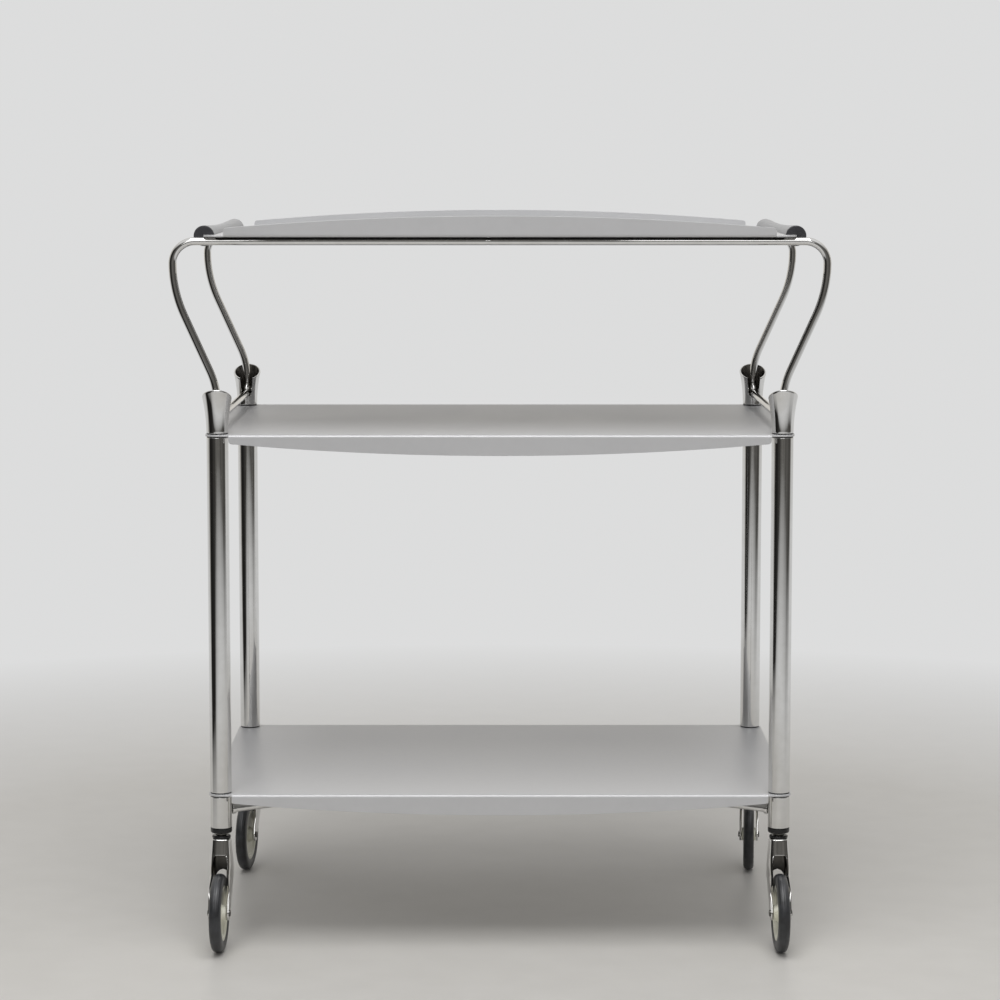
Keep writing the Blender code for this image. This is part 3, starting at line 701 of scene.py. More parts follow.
tube_radius = (span("post_front_left", 0)[1] - span("post_front_left", 0)[0]) / 2
for corner in CORNERS:
    place = upright(corner)
    shade_rings = []
    for kind, at_foot in (("post_", SHADE_RING_HEIGHT), ("lower_post_", 0)):
        low, high = span(kind + corner, 2)
        section = ring_section(
            tube_radius - TUBE_WALL, tube_radius, low + at_foot, high - SHADE_RING_HEIGHT, TUBE_END_ROUND
        )
        turned_piece(
            kind + "tube_" + corner, section, place, CHROME, "frame", (kind + corner,),
            POST_SEGMENTS,
        )
        shade_rings.append(shade_ring_rows(high - SHADE_RING_HEIGHT + SHADE_RING_GAP, place))
        if at_foot:
            shade_rings.append(shade_ring_rows(low, place))
    cup_foot = span("trumpet_cup_" + corner, 2)[0]
    shade_rings.append(shade_ring_rows(cup_foot, place))
    # The black rings of painted contact shadow at this corner, joined as one piece
    points, faces = joined(shade_rings, wrap_rows=True)
    finished("shade_rings_" + corner, points, faces, BLACK, "frame")
print("tube radius", round(tube_radius, 4))

# %% The crossed brace under the bottom shelf
BRACE_RADIUS = 0.004
BEAD_WIDE, BEAD_TALL = 1.25, 0.8  # of the rods' radius
FERRULE_LENGTH = 0.0045
FERRULE_BORE, FERRULE_WALL = 0.0001, 0.0014  # beyond the rod's radius
brace_z = middle("cross_brace")[2]
diagonal = math.hypot(half_x, half_y)
brace_reach = diagonal - tube_radius - gap


def rod_profile(radius, low, high, edge):
    """A solid rod's profile from axis to axis, with rounded rims."""
    return rounded([(0, low), (radius, low), (radius, high), (0, high)], edge, 4, closed=False)


def add_brace():
    """Two rods on the diagonals. A flattened bead of weld, (wide * sin(a), -tall * cos(a)) turned
    about the upright axis, sits where they cross."""
    parts = []
    for sign in (1, -1):
        along = (half_x, sign * half_y, 0)
        place = frame_of((0, centre_y, brace_z), along)
        profile = rod_profile(BRACE_RADIUS, -brace_reach, brace_reach, 0.0006)
        parts.append(placed(turned(profile, 48), place))
    a = np.linspace(0, math.pi, 13)
    bead = BRACE_RADIUS * np.stack([BEAD_WIDE * np.sin(a), -BEAD_TALL * np.cos(a)], axis=-1)
    place = frame_of((0, centre_y, brace_z), (0, 0, 1))
    parts.append(placed(turned(bead, 32), place))
    points, faces = joined(parts)
    return finished("brace_rods", points, faces, CHROME, "frame", ("cross_brace",))


add_brace()
for corner in CORNERS:
    out = np.array([*(post_axis[corner] - (0, centre_y)), 0.0])
    out = out / np.linalg.norm(out)
    place = frame_of((0, centre_y, brace_z), out)
    inner, outer = BRACE_RADIUS + FERRULE_BORE, BRACE_RADIUS + FERRULE_WALL
    section = ring_section(inner, outer, brace_reach - FERRULE_LENGTH, brace_reach, 0.0005)
    node = "brace_ferrule_" + corner
    turned_piece("ferrule_" + corner, section, place, CHROME, "frame", (node,), 40)
print("brace reach", round(brace_reach, 4))

# %% [markdown]
# ## The wire frame
#
# One 8 mm chromed wire makes both hoops and both crossbars, and its ends are butted and welded in
# the front run, where a shallow groove shows. It is a path of straight lines and arcs, so the
# corners are listed with the radius each is bent to, and the round wire is carried along. A NURBS
# curve would look much the same, but a bent wire really is straight between its bends, and chrome
# shows the difference.

# %% Wire
WIRE_RADIUS = 0.004
LOWER_BEND = (0.0482, 0.080)  # height over the middle shelf, and bend radius
UPPER_BEND = (0.0498, 0.126)  # drop below the top run, and bend radius
TOP_BEND_RADIUS = 0.0225
FOOT_BEND_RADIUS = 0.011
CROSSBAR_HEIGHT = 0.0145
WELD_PLACE = -0.0117  # along x
WELD_REACH, WELD_WIDTH, WELD_DIP = 0.004, 0.0012, 0.0003
BEND_STEPS = 14

hoop_z = span("wire_frame", 2)[1] - WIRE_RADIUS
crossbar_z = middle_top + CROSSBAR_HEIGHT
hoop_out = span("wire_frame", 0)[1] - WIRE_RADIUS - half_x


def wire_corners():
    """The loop's corners in order, as x, y, z and bend radius. The first leg is front left."""
    side = np.array(
        [
            (0, crossbar_z, FOOT_BEND_RADIUS),
            (0, middle_top + LOWER_BEND[0], LOWER_BEND[1]),
            (hoop_out, hoop_z - UPPER_BEND[0], UPPER_BEND[1]),
            (hoop_out, hoop_z, TOP_BEND_RADIUS),
        ]
    )
    legs = []
    for sign_x, sign_y, order in ((-1, -1, 1), (1, -1, -1), (1, 1, 1), (-1, 1, -1)):
        out, level, bend = side[::order].T
        legs.append(points_of(sign_x * (half_x + out), centre_y + sign_y * half_y, level, bend))
    return np.concatenate(legs)


corners = wire_corners()
path = rounded(corners[:, :3], corners[:, 3], BEND_STEPS)
first_leg = len(corners) // 4 * (BEND_STEPS + 1)
weld_x = WELD_PLACE + np.linspace(-WELD_REACH, WELD_REACH, 25)
weld = points_of(weld_x, centre_y - half_y, hoop_z)
path = supported(np.concatenate([path[:first_leg], weld, path[first_leg:]]), 0.0010)
near_weld = (path[:, 0] - WELD_PLACE) / WELD_WIDTH
on_front_run = (path[:, 1] < centre_y) & (path[:, 2] > hoop_z - 1e-5)
dip = np.where(on_front_run, WELD_DIP * np.exp(-(near_weld**2)), 0)
wire = swept(path, WIRE_RADIUS - dip, 32, closed=True)
grid_piece("bent_wire", wire, CHROME, "frame", ("wire_frame",), wrap_rows=True)
print("wire loop", round(float(np.linalg.norm(np.diff(path, axis=0), axis=1).sum()), 3), "m long")

# %% [markdown]
# ## Trumpet cups
#
# A cup stands on each corner of the middle shelf and holds the wire's foot. It flares like a
# trumpet, its rim is cut on a slant, higher on the outside, and a slot lets the crossbar out.
#
# The usual way is a turned body with a Boolean cut. Here the rim's height is a function of the
# angle instead: a slanted plane, with a deep dip where the slot is. The wall, the round lip and the
# inside then follow one formula, and no cut edge is left ragged. Only the inside is rougher, and
# its dark colour is painted shade for the hollow.

# %% Cup surface
CUP_BASE = 0.011
CUP_FLARE = 0.004
CUP_HEIGHT = 0.037
CUP_SLANT = math.radians(26)
CUP_WALL = 0.002
CUP_FLOOR = 0.0100
CUP_FOOT_ROUND = 0.0006
SLOT_RADIUS = 0.00625
SLOT_LEVEL = 0.02  # the height where the cup's radius sets how wide the slot looks from the axis
SLOT_MARGIN = 0.02  # radians between the slot's columns and the rim's
SLOT_COLUMNS, RIM_COLUMNS = 27, 90


def cup_radius(height):
    """The outside's radius: base + flare * (height / cup height)^2."""
    return CUP_BASE + CUP_FLARE * (height / CUP_HEIGHT) ** 2


def cup_rows():
    """Rows up the outside, over the lip, down the inside and across the floor. The slot faces +y.

    Columns crowd at the slot's two sides, where the lip drops from the slanted plane
    height = cup height - y * tan(slant) to the slot's round bottom.
    """
    half_slot = math.asin(SLOT_RADIUS / cup_radius(SLOT_LEVEL))
    clear = half_slot + SLOT_MARGIN
    spread_out = np.linspace(clear, 2 * np.pi - clear, RIM_COLUMNS)
    inside = half_slot * np.sin(np.linspace(-np.pi / 2, np.pi / 2, SLOT_COLUMNS))
    angle = np.pi / 2 + np.concatenate([inside, spread_out])
    in_slot = np.arange(len(angle)) < SLOT_COLUMNS
    rim = np.full(angle.shape, CUP_HEIGHT)
    for _ in range(6):
        rim = CUP_HEIGHT - cup_radius(rim) * np.sin(angle) * math.tan(CUP_SLANT)
    sideways = np.clip(np.abs(np.cos(angle)) * cup_radius(SLOT_LEVEL) / SLOT_RADIUS, 0, 1)
    dip = CUP_FLOOR + SLOT_RADIUS * (1 - np.sqrt(1 - sideways**2))
    rim = np.where(in_slot, dip, rim)
    lip = CUP_WALL / 2
    climb = np.linspace(0, 1, 26)[:, None]
    # The wall starts above the black ring of painted shadow under the cup's foot
    outer_z = climb * (rim - lip - CUP_FOOT_ROUND - SHADE_RING_HEIGHT) + CUP_FOOT_ROUND + SHADE_RING_HEIGHT
    outer_r = cup_radius(outer_z)
    foot = np.radians(np.linspace(-90, 0, 5))[:-1, None] + 0 * angle
    foot_r = CUP_BASE - CUP_FOOT_ROUND * (1 - np.cos(foot))
    foot_z = SHADE_RING_HEIGHT + CUP_FOOT_ROUND * (1 + np.sin(foot))
    under_r = foot_r[:1] * [[0.0], [0.94]]
    over = np.radians(np.linspace(0, 180, 11))[1:-1, None]
    lip_r = cup_radius(rim - lip) - lip + lip * np.cos(over)
    lip_z = rim - lip + lip * np.sin(over)
    floor = np.minimum(CUP_FLOOR, rim - lip)
    inner_z = floor + (1 - climb) * (rim - lip - floor)
    inner_r = cup_radius(inner_z) - CUP_WALL
    radius = np.concatenate([under_r, foot_r, outer_r, lip_r, inner_r, 0 * outer_r[:1]])
    height = np.concatenate(
        [0 * under_r + SHADE_RING_HEIGHT, foot_z, outer_z, lip_z, inner_z, 0 * floor[None] + CUP_FLOOR]
    )
    return points_of(radius * np.cos(angle), radius * np.sin(angle), height)


def paint_inside_shade(piece, base):
    """The second finish on every face that is within the wall's inner third and above the floor.
    Its dark colour is painted shade for the cup's hollow; its roughness is the inside's own.
    """
    mesh = piece.data
    centres = np.empty(3 * len(mesh.polygons))
    mesh.polygons.foreach_get("center", centres)
    from_base = centres.reshape(-1, 3) - base
    away, height = np.hypot(from_base[:, 0], from_base[:, 1]), from_base[:, 2]
    inside = (away < cup_radius(height) - 0.7 * CUP_WALL) & (height > 0.9 * CUP_FLOOR)
    mesh.materials.append(SHADED_INSIDE_CHROME)
    mesh.polygons.foreach_set("material_index", inside.astype(np.int32))


cup = cup_rows()
for corner in CORNERS:
    inward = 1 if corner.startswith("front") else -1
    base = (*post_axis[corner], span("trumpet_cup_" + corner, 2)[0])
    place = frame_of(base, (0, 0, 1), (inward, 0, 0))
    points, node = placed(cup, place), "trumpet_cup_" + corner
    piece = grid_piece(
        "cup_" + corner, points, CHROME, "frame", (node,), capped=False
    )
    paint_inside_shade(piece, base)
print("cup", cup.shape[0] * cup.shape[1], "points")

# %% [markdown]
# ## Grips
#
# The tray is carried by two waisted bars, slotted along the inside so that the tray's end slides
# in, and closed at both ends by darker caps. A slice across such a bar is the letter C. Carrying
# that C from end to end while its radius shrinks and grows gives the whole grip, slot and all.

# %% Slotted bars
GRIP_END_RADIUS = 0.0103
GRIP_WAIST_RADIUS = 0.0080
GRIP_WAIST_POWER = 1.4
CAP_THICKNESS = 0.003
CAP_ROUND = 0.0009
SLOT_HALF = SHEET_THICKNESS / 2 + 0.0002
SLOT_MOUTH, SLOT_BOTTOM = -0.004, 0.0003  # along x from the bar's axis


def slotted_rows(place_y, radius, sign):
    """C-shaped slices: a circle from the slot's lip round to its other lip, then in to the middle.

    The slot is SLOT_HALF either side of the tray's sheet, and its lips are at
    asin(SLOT_HALF / radius) on the circle.
    """
    lip = np.arcsin(SLOT_HALF / radius)[:, None]
    share = np.linspace(0, 1, 56)[None, :]
    angle = np.pi + lip + share * (2 * np.pi - 2 * lip)
    x = radius[:, None] * np.cos(angle)
    z = radius[:, None] * np.sin(angle)
    depth = np.array([SLOT_MOUTH, SLOT_BOTTOM, SLOT_BOTTOM, SLOT_MOUTH]) + 0 * lip
    level = np.array([SLOT_HALF, SLOT_HALF, -SLOT_HALF, -SLOT_HALF]) + 0 * lip
    x = np.concatenate([x, depth], axis=1)
    z = np.concatenate([z, level], axis=1)
    mid = tray_under + SHEET_THICKNESS / 2
    return points_of(sign * (plate_half_x + x), centre_y + place_y[:, None], mid + z)


CAP_CLEARANCE = 0.0005  # inside the front and rear runs of the wire
cap_out = half_y - WIRE_RADIUS - CAP_CLEARANCE
grip_half = cap_out - CAP_THICKNESS - gap
for side, sign in (("left", -1), ("right", 1)):
    along = np.linspace(-1, 1, 61)
    waist = (GRIP_END_RADIUS - GRIP_WAIST_RADIUS) * (1 - along**2) ** GRIP_WAIST_POWER
    rows = slotted_rows(along * grip_half, GRIP_END_RADIUS - waist, sign)
    grid_piece("grip_bar_" + side, rows, GRIP, "tray", ("grip_" + side,))
    for end, facing in (("front", -1), ("rear", 1)):
        edge = np.radians(np.linspace(0, 90, 6))
        rim = GRIP_END_RADIUS - CAP_ROUND + CAP_ROUND * np.cos(edge)
        out = cap_out - CAP_ROUND + CAP_ROUND * np.sin(edge)
        reach = np.concatenate([[grip_half + gap, out[0] - SUPPORT], out, out[-1:]])
        radius = np.concatenate([[GRIP_END_RADIUS] * 2, rim, rim[-1:] - SUPPORT])
        rows = slotted_rows(facing * reach, radius, sign)
        name = end + "_" + side
        grid_piece("end_cap_" + name, rows, CAP, "tray", ("grip_cap_" + name,))
print("grips", round(2 * grip_half, 3), "m long")

# %% Painted shadow strips under the tray
# Black strips under the tray's edges: painted shade for the gap above the wire's runs.
SHADE_STRIP_WIDTH = 0.017
SHADE_STRIP_INSET = 0.0035  # behind the tray's edge
SHADE_STRIP_STOP = 0.001  # short of the grips
SHADE_STRIP_LOW, SHADE_STRIP_HIGH = -0.00024, -0.00004  # below the tray's underside, clear of the wire


def shade_strip_rows(place_y, half_length, low, high):
    """A thin strip along x with round ends: x = half length - w * (1 - sin(a)) and half width
    w * cos(a), with a from 0 to nearly a right angle over each end."""
    w = SHADE_STRIP_WIDTH / 2
    a = np.linspace(0, 0.49 * np.pi, 10)
    x, half = half_length - w * (1 - np.sin(a)), w * np.cos(a)
    x, half = np.concatenate([-x[::-1], x]), np.concatenate([half[::-1], half])
    y = place_y + half[:, None] * [-1, 1, 1, -1]
    return points_of(x[:, None], y, np.array([low, low, high, high]))


shade_strip_y = half_y + margin - SHADE_STRIP_INSET - SHADE_STRIP_WIDTH / 2
shade_strip_half = plate_half_x - GRIP_END_RADIUS - SHADE_STRIP_STOP
# Each strip is painted shade, which the wire's top below it also mirrors.
for name, sign in (("front", -1), ("rear", 1)):
    levels = tray_under + SHADE_STRIP_LOW, tray_under + SHADE_STRIP_HIGH
    rows = shade_strip_rows(centre_y + sign * shade_strip_y, shade_strip_half, *levels)
    grid_piece("tray_strip_" + name, rows, BLACK, "tray")
print("strips", round(2 * shade_strip_half, 3), "m long")

# %% [markdown]
# ## Casters
#
# Under each post a black bush takes the caster's stem. The fork turns on that stem, and the wheel
# turns between the fork's legs, set back by the trail. Each caster stands at its own angle, as they
# do when a cart has just been rolled, so its pieces are made once in the caster's own frame, with x
# along the axle, and placed by the axle's direction.

# %% Caster frames
def spin_joint(corner):
    """The wheel's joint, which gives the axle's place and direction at rest."""
    return next(j for j in frame["joints"] if j["name"] == corner + "_wheel_spin")


def caster_points(local, corner):
    """Local points, with x along the axle, -y forward along the trail and z up from the floor."""
    axis = np.array(spin_joint(corner)["axis"], float)
    forward = np.array([-axis[1], axis[0], 0.0])
    origin = np.array([*post_axis[corner], 0.0])
    up = np.array([0.0, 0.0, 1.0])
    return origin + local[..., :1] * axis + local[..., 1:2] * forward + local[..., 2:3] * up


print("axle directions", {c: spin_joint(c)["axis"][:2] for c in CORNERS})

# %% Bush, stem and washer
fork_top = span("caster_fork_front_left", 2)[1]
bush_low, bush_high = span("socket_bush_front_left", 2)
washer_low, washer_high = span("swivel_washer_front_left", 2)
stem_low, stem_high = span("caster_stem_front_left", 2)
rim_high = span("lower_post_front_left", 2)[0] - gap
STEM_RADIUS = 0.005
STEM_HEAD_RADIUS, STEM_HEAD_HEIGHT = 0.0069, 0.003
STEM_CHAMFER = 0.001
BUSH_CHAMFER = (0.0006, 0.0012)  # across and up
BUSH_ROOF = 0.0045
TIE_ROD_HOLE = 0.0033
bush_corners = [
    (STEM_RADIUS + gap, bush_low),
    (tube_radius - BUSH_CHAMFER[0], bush_low),
    (tube_radius, bush_low + BUSH_CHAMFER[1]),
    (tube_radius, rim_high),
    (tube_radius - TUBE_WALL - gap, rim_high),
    (tube_radius - TUBE_WALL - gap, bush_high),
    (TIE_ROD_HOLE, bush_high),
    (TIE_ROD_HOLE, bush_high - BUSH_ROOF),
    (STEM_RADIUS + gap, bush_high - BUSH_ROOF),
]
washer_left, washer_right = span("swivel_washer_front_left", 0)
washer_radius = (washer_right - washer_left) / 2
stem_corners = [
    (0, stem_low),
    (STEM_HEAD_RADIUS, stem_low),
    (STEM_HEAD_RADIUS, stem_low + STEM_HEAD_HEIGHT),
    (STEM_RADIUS, stem_low + STEM_HEAD_HEIGHT),
    (STEM_RADIUS, stem_high - STEM_CHAMFER),
    (STEM_RADIUS - STEM_CHAMFER, stem_high),
    (0, stem_high),
]
for corner in CORNERS:
    place = upright(corner)
    turned_piece(
        "bush_" + corner, rounded(bush_corners, 0.0003, 3), place, BLACK, "frame",
        ("socket_bush_" + corner,), 72,
    )
    turned_piece(
        "stem_" + corner, rounded(stem_corners, 0.0003, 3, closed=False), place, STEEL, "frame",
        ("caster_stem_" + corner,), 48,
    )
    turned_piece(
        "washer_" + corner,
        ring_section(STEM_RADIUS + gap, washer_radius, washer_low, washer_high, 0.001),
        place, BLACK, corner + "_caster", ("swivel_washer_" + corner,), 64,
    )
print("bush from", round(bush_low, 4), "to", round(bush_high, 4))

# %% [markdown]
# ## The fork
#
# The fork is pressed from sheet: a boxy crown over the stem, a hood that is open at the front, and
# two legs that sweep forward to the axle. Its outside is drawn as one skin and Solidify gives the
# skin its thickness, as the press does.
#
# The skin has three grids that share their edges. The crown and hood are columns round the swivel
# axis: each column starts on the flat top and runs down to the window's arch, to a leg, or to the
# hood's hem at the back. Each leg is then a tongue whose rows bulge more and more, until the last
# one is the half circle round the axle.

# %% Fork outline
TRAIL = 0.024
WHEEL_RADIUS = 0.040
FORK_THICKNESS = 0.0024
CROWN_HALF = 0.0094
CROWN_ROUND = 0.0009
SHOULDER_HALF = 0.0117
LEG_HALF = 0.0105
HEM_SIDE, HEM_MIDDLE = 0.0715, 0.0785
HEM_REACH = 0.70  # share of the half width where the hem is lowest
WINDOW_FOOT, ARCH_TOP = 0.0780, 0.0970
HOOD_BACK = 0.0105
EYE_RADIUS = 0.0073
EYE_FROM, EYE_TO = -35, -195  # degrees round the axle, from the front edge to the back
BOXY = 0.50  # power of the hood's section: 1 would be an ellipse, near 0 a box


def half_width(z):
    """Half the fork's width at a height: linear from the crown to the shoulders, level over them,
    then in to the legs' feet."""
    heights = (0, 0.050, 0.076, 0.084, fork_top)
    return np.interp(z, heights, (LEG_HALF, LEG_HALF, SHOULDER_HALF, SHOULDER_HALF, CROWN_HALF))


def hood_point(angle, z):
    """A point of the hood's section at a height, which is a superellipse of power BOXY.

    Its front runs from the crown out to the arch's top and on down the legs' front edge, and its
    back runs out to HOOD_BACK over the top 8 mm.
    """
    front = np.interp(z, (0.0414, ARCH_TOP, fork_top), (0.0312, 0.0120, CROWN_HALF))
    back = np.interp(z, (fork_top - 0.008, fork_top), (HOOD_BACK, CROWN_HALF))
    sine, cosine = np.sin(angle), np.cos(angle)
    x = half_width(z) * np.sign(sine) * np.abs(sine) ** BOXY
    y = np.where(cosine > 0, back, front) * np.sign(cosine) * np.abs(cosine) ** BOXY
    return points_of(x, y, z)


# %% Fork skin
HEM_ANGLE, WINDOW_ANGLE = 0.34 * np.pi, 0.845 * np.pi
HEM_COLUMNS, LEG_COLUMNS, WINDOW_COLUMNS = 24, 22, 24


def fork_columns():
    """The columns' angles, and the height each one runs down to. Angle 0 is the back.

    The hem rises in the middle by a parabola in x, the legs' top climbs evenly from hem to window,
    and the window's arch is foot + (top - foot) * (1 - |a|^5)^0.5, with a from -1 to 1 across it.
    """
    hem = np.linspace(-HEM_ANGLE, HEM_ANGLE, HEM_COLUMNS, endpoint=False)
    right = np.linspace(HEM_ANGLE, WINDOW_ANGLE, LEG_COLUMNS, endpoint=False)
    across = np.linspace(-1, 1, WINDOW_COLUMNS, endpoint=False)
    window = np.pi + across * (np.pi - WINDOW_ANGLE)
    left = 2 * np.pi - np.linspace(WINDOW_ANGLE, HEM_ANGLE, LEG_COLUMNS, endpoint=False)
    beside = np.minimum(np.abs(np.sin(hem)) ** BOXY / HEM_REACH, 1)
    hem_low = HEM_MIDDLE - (HEM_MIDDLE - HEM_SIDE) * beside**2
    climb = np.linspace(0, 1, LEG_COLUMNS, endpoint=False)
    right_low = HEM_SIDE + (WINDOW_FOOT - HEM_SIDE) * climb
    window_low = WINDOW_FOOT + (ARCH_TOP - WINDOW_FOOT) * np.sqrt(1 - np.abs(across) ** 5)
    left_low = WINDOW_FOOT + (HEM_SIDE - WINDOW_FOOT) * climb
    angle = np.concatenate([hem, right, window, left])
    return angle, np.concatenate([hem_low, right_low, window_low, left_low])


def hood_rows():
    """The crown's flat top from the stem's hole, its rounded rim, and the hood's walls."""
    angle, low = fork_columns()
    hole = STEM_RADIUS + gap
    rows = [points_of(hole * np.sin(angle), hole * np.cos(angle), fork_top)]
    for turn in np.linspace(0, np.pi / 2, 5):
        inset = CROWN_ROUND * (1 - np.sin(turn)) / CROWN_HALF
        row = hood_point(angle, fork_top + 0 * angle) * (1 - inset, 1 - inset, 1)
        rows.append(row - (0, 0, CROWN_ROUND * (1 - np.cos(turn))))
    for share in np.linspace(0, 1, 24)[1:]:
        height = (fork_top - CROWN_ROUND) * (1 - share) + low * share
        rows.append(hood_point(angle, height))
    return np.array(rows)


def leg_rows(top, sign):
    """A leg, from the hood's edge row down to the half circle round the axle.

    Row v mixes the top row with the eye's arc by v, so its bulge grows with v. Its half width is
    the fork's own at that height, times the top row's inward curl to the power (1 - v)^3.
    """
    turn = np.radians(np.linspace(EYE_FROM, EYE_TO, len(top)))
    v = np.linspace(0, 1, 26)[:, None]
    y = top[None, :, 1] * (1 - v) + (EYE_RADIUS * np.cos(turn) - TRAIL) * v
    z = top[None, :, 2] * (1 - v) + (EYE_RADIUS * np.sin(turn) + WHEEL_RADIUS) * v
    curl = np.abs(top[None, :, 0]) / half_width(top[None, :, 2])
    return np.stack([sign * half_width(z) * curl ** ((1 - v) ** 3), y, z], axis=-1)


def fork_skin():
    """Points and faces of the hood and both legs. The legs' top rows are the hood's own columns."""
    hood = hood_rows()
    count = hood.shape[1]
    points, faces = [hood.reshape(-1, 3)], [grid_faces(*hood.shape[:2])]
    start = hood.shape[0] * count
    right = np.arange(HEM_COLUMNS, HEM_COLUMNS + LEG_COLUMNS + 1)
    left = np.arange(count, count - LEG_COLUMNS - 1, -1) % count
    for sign, columns in ((1, right), (-1, left)):
        leg = leg_rows(hood[-1][columns], sign)
        points.append(leg.reshape(-1, 3))
        faces.append(grid_faces(*leg.shape[:2], wrap_columns=False) + start)
        start += leg.shape[0] * leg.shape[1]
    return np.concatenate(points), np.concatenate(faces).tolist()


# %% Forks
RACE_RADIUS = 0.0062
RACE_GAP = 0.0006  # above the stem's head
EDGE_WIDTH = 0.0004
skin_points, skin_faces = fork_skin()
for corner in CORNERS:
    fork = finished(
        "fork_" + corner, caster_points(skin_points, corner), skin_faces, CHROME,
        corner + "_caster", ("caster_fork_" + corner,),
    )
    # The inner shell takes the rough chrome whose dark colour is painted shade for the hollow.
    fork.data.materials.append(SHADED_INSIDE_CHROME)
    wall = fork.modifiers.new("wall", "SOLIDIFY")
    wall.thickness = FORK_THICKNESS
    wall.offset = -1
    wall.use_even_offset = True
    wall.use_quality_normals = True
    wall.material_offset = 1
    edge = fork.modifiers.new("edge", "BEVEL")
    edge.width = EDGE_WIDTH
    edge.segments = 2
    edge.limit_method = "ANGLE"
    edge.angle_limit = math.radians(50)
    levels = stem_low + STEM_HEAD_HEIGHT + RACE_GAP, fork_top - FORK_THICKNESS
    race = ring_section(STEM_RADIUS + gap, RACE_RADIUS, *levels, 0.0003)
    turned_piece(
        "race_" + corner, race, upright(corner), STEEL,
        corner + "_caster", (), 48,
    )
print("fork skin", len(skin_points), "points")

# %% [markdown]
# ## Wheels
#
# Each wheel is a cream disc with a barrel for the axle and a rim, and a rubber tyre over the rim.
# All of it is turned about the axle. The tyre's tread is a shallow arc with soft shoulders, and
# three fine grooves run round it where the mould closed.

# %% Wheel sections
TYRE_HALF = 0.006
TYRE_BORE = 0.0285
HUB_HALF = 0.0077
AXLE_HOLE = 0.0033
TREAD_POWER = 0.85  # 1 would be an ellipse, less is squarer
GROOVES = (-0.0030, 0.0, 0.0030)
GROOVE_DEPTH, GROOVE_WIDTH = 0.00016, 0.00022


def mirrored_section(right):
    """A ring's section from its right half: the same corners again with the width turned round."""
    left = [(radius, -x, r) for radius, x, r in reversed(right)]
    both = np.array(right + left)
    return supported(rounded(both[:, :2], both[:, 2], 5))


def tyre_section():
    """(radius, x) round the rubber's section, anticlockwise from the bore's right corner.

    The tread is half a superellipse: x = half * cos(t)^p and radius = crown + half * sin(t)^p. Each
    groove takes depth * exp(-((x - place) / width)^2) off the radius.
    """
    t = np.linspace(0, np.pi, 97)
    cosine, sine = np.cos(t), np.sin(t)
    x = TYRE_HALF * np.sign(cosine) * np.abs(cosine) ** TREAD_POWER
    crown = WHEEL_RADIUS - TYRE_HALF
    radius = crown + TYRE_HALF * np.abs(sine) ** TREAD_POWER
    for place in GROOVES:
        radius = radius - GROOVE_DEPTH * np.exp(-(((x - place) / GROOVE_WIDTH) ** 2))
    foot = np.array([(TYRE_BORE, TYRE_HALF - 0.0009), (TYRE_BORE + 0.0008, TYRE_HALF - 0.0003)])
    right = np.vstack([foot, [(crown - 0.0006, TYRE_HALF - 0.00005)]])
    left = (right * (1, -1))[::-1]
    return np.vstack([right, np.stack([radius, x], -1), left])


hub_section = mirrored_section(
    [
        (AXLE_HOLE, HUB_HALF, 0.0002),
        (0.0070, HUB_HALF, 0.0005),
        (0.0088, 0.0024, 0.0012),
        (0.0225, 0.0020, 0.0020),
        (0.0245, 0.0048, 0.0010),
        (TYRE_BORE - gap, 0.0050, 0.0003),
    ]
)


def along_axle(section, corner, segments):
    """A section turned about the axle, as rows of world points."""
    back, up, across = np.moveaxis(turned(section, segments), -1, 0)
    return caster_points(points_of(across, back - TRAIL, up + WHEEL_RADIUS), corner)


# %% Wheels and axles
AXLE_RADIUS = 0.003
HEAD_RADIUS = 0.0034
HEAD_IN, HEAD_OUT = 0.0108, 0.0120  # along the axle from the wheel's middle
HEAD_RIM = 0.0004
HEAD_POWER = 0.6  # 1 would be an ellipse, less is flatter on top
dome = np.linspace(0, np.pi / 2, 7)
bulge = HEAD_IN + HEAD_RIM + (HEAD_OUT - HEAD_IN - HEAD_RIM) * np.sin(dome)
head = np.stack([HEAD_RADIUS * np.cos(dome) ** HEAD_POWER, bulge], -1)
half_axle = np.concatenate([[(AXLE_RADIUS, HEAD_IN), (HEAD_RADIUS, HEAD_IN)], head])
axle_section = np.concatenate([half_axle[::-1] * (1, -1), half_axle])
for corner in CORNERS:
    for name, section, finish, body, slot, node in (
        ("tyre_ring_", tyre_section(), TYRE, "_wheel", "tyre_rubber", "tyre_"),
        ("wheel_disc_", hub_section, CREAM, "_wheel", "hub_cream", "wheel_hub_"),
    ):
        rows = along_axle(section, corner, 96)
        replaced = (node + corner,)
        grid_piece(name + corner, rows, finish, corner + body, replaced, wrap_rows=True)
    grid_piece(
        "axle_pin_" + corner, along_axle(axle_section, corner, 40), STEEL, corner + "_caster",
        ("axle_" + corner,), capped=False,
    )
print("made", len(made), "pieces")

# %% [markdown]
# ## Rods that stay
#
# The tie rods inside the posts keep the model's own shape. They can't be seen on the closed cart,
# but they still get a finish.

# %% Tie rods
for corner in CORNERS:
    rod = frame["nodes"]["tie_rod_" + corner]
    rod.data.materials.clear()
    rod.data.materials.append(STEEL)
print("tie rods finished")

# %% [markdown]
# ## Floor and light
#
# Chrome shows its surroundings, so the light has to be thought of as a room: a pale floor, a pale
# wall behind the cart, a bright ceiling, and a dim far side that gives the tubes their dark bands.
# The dim side is only in what reflections see. A real studio would hang black cloth there.
#
# The far side is one strip of greys by compass direction, with how near to the cart each direction
# starts to dim. The sky uses it for reflections near the horizon and the floor uses it beyond that
# distance, so a post is dark above, where it shows the far room, and pale below, where it shows the
# near floor. To the camera the floor fades into the backdrop, so no horizon crosses the cart.

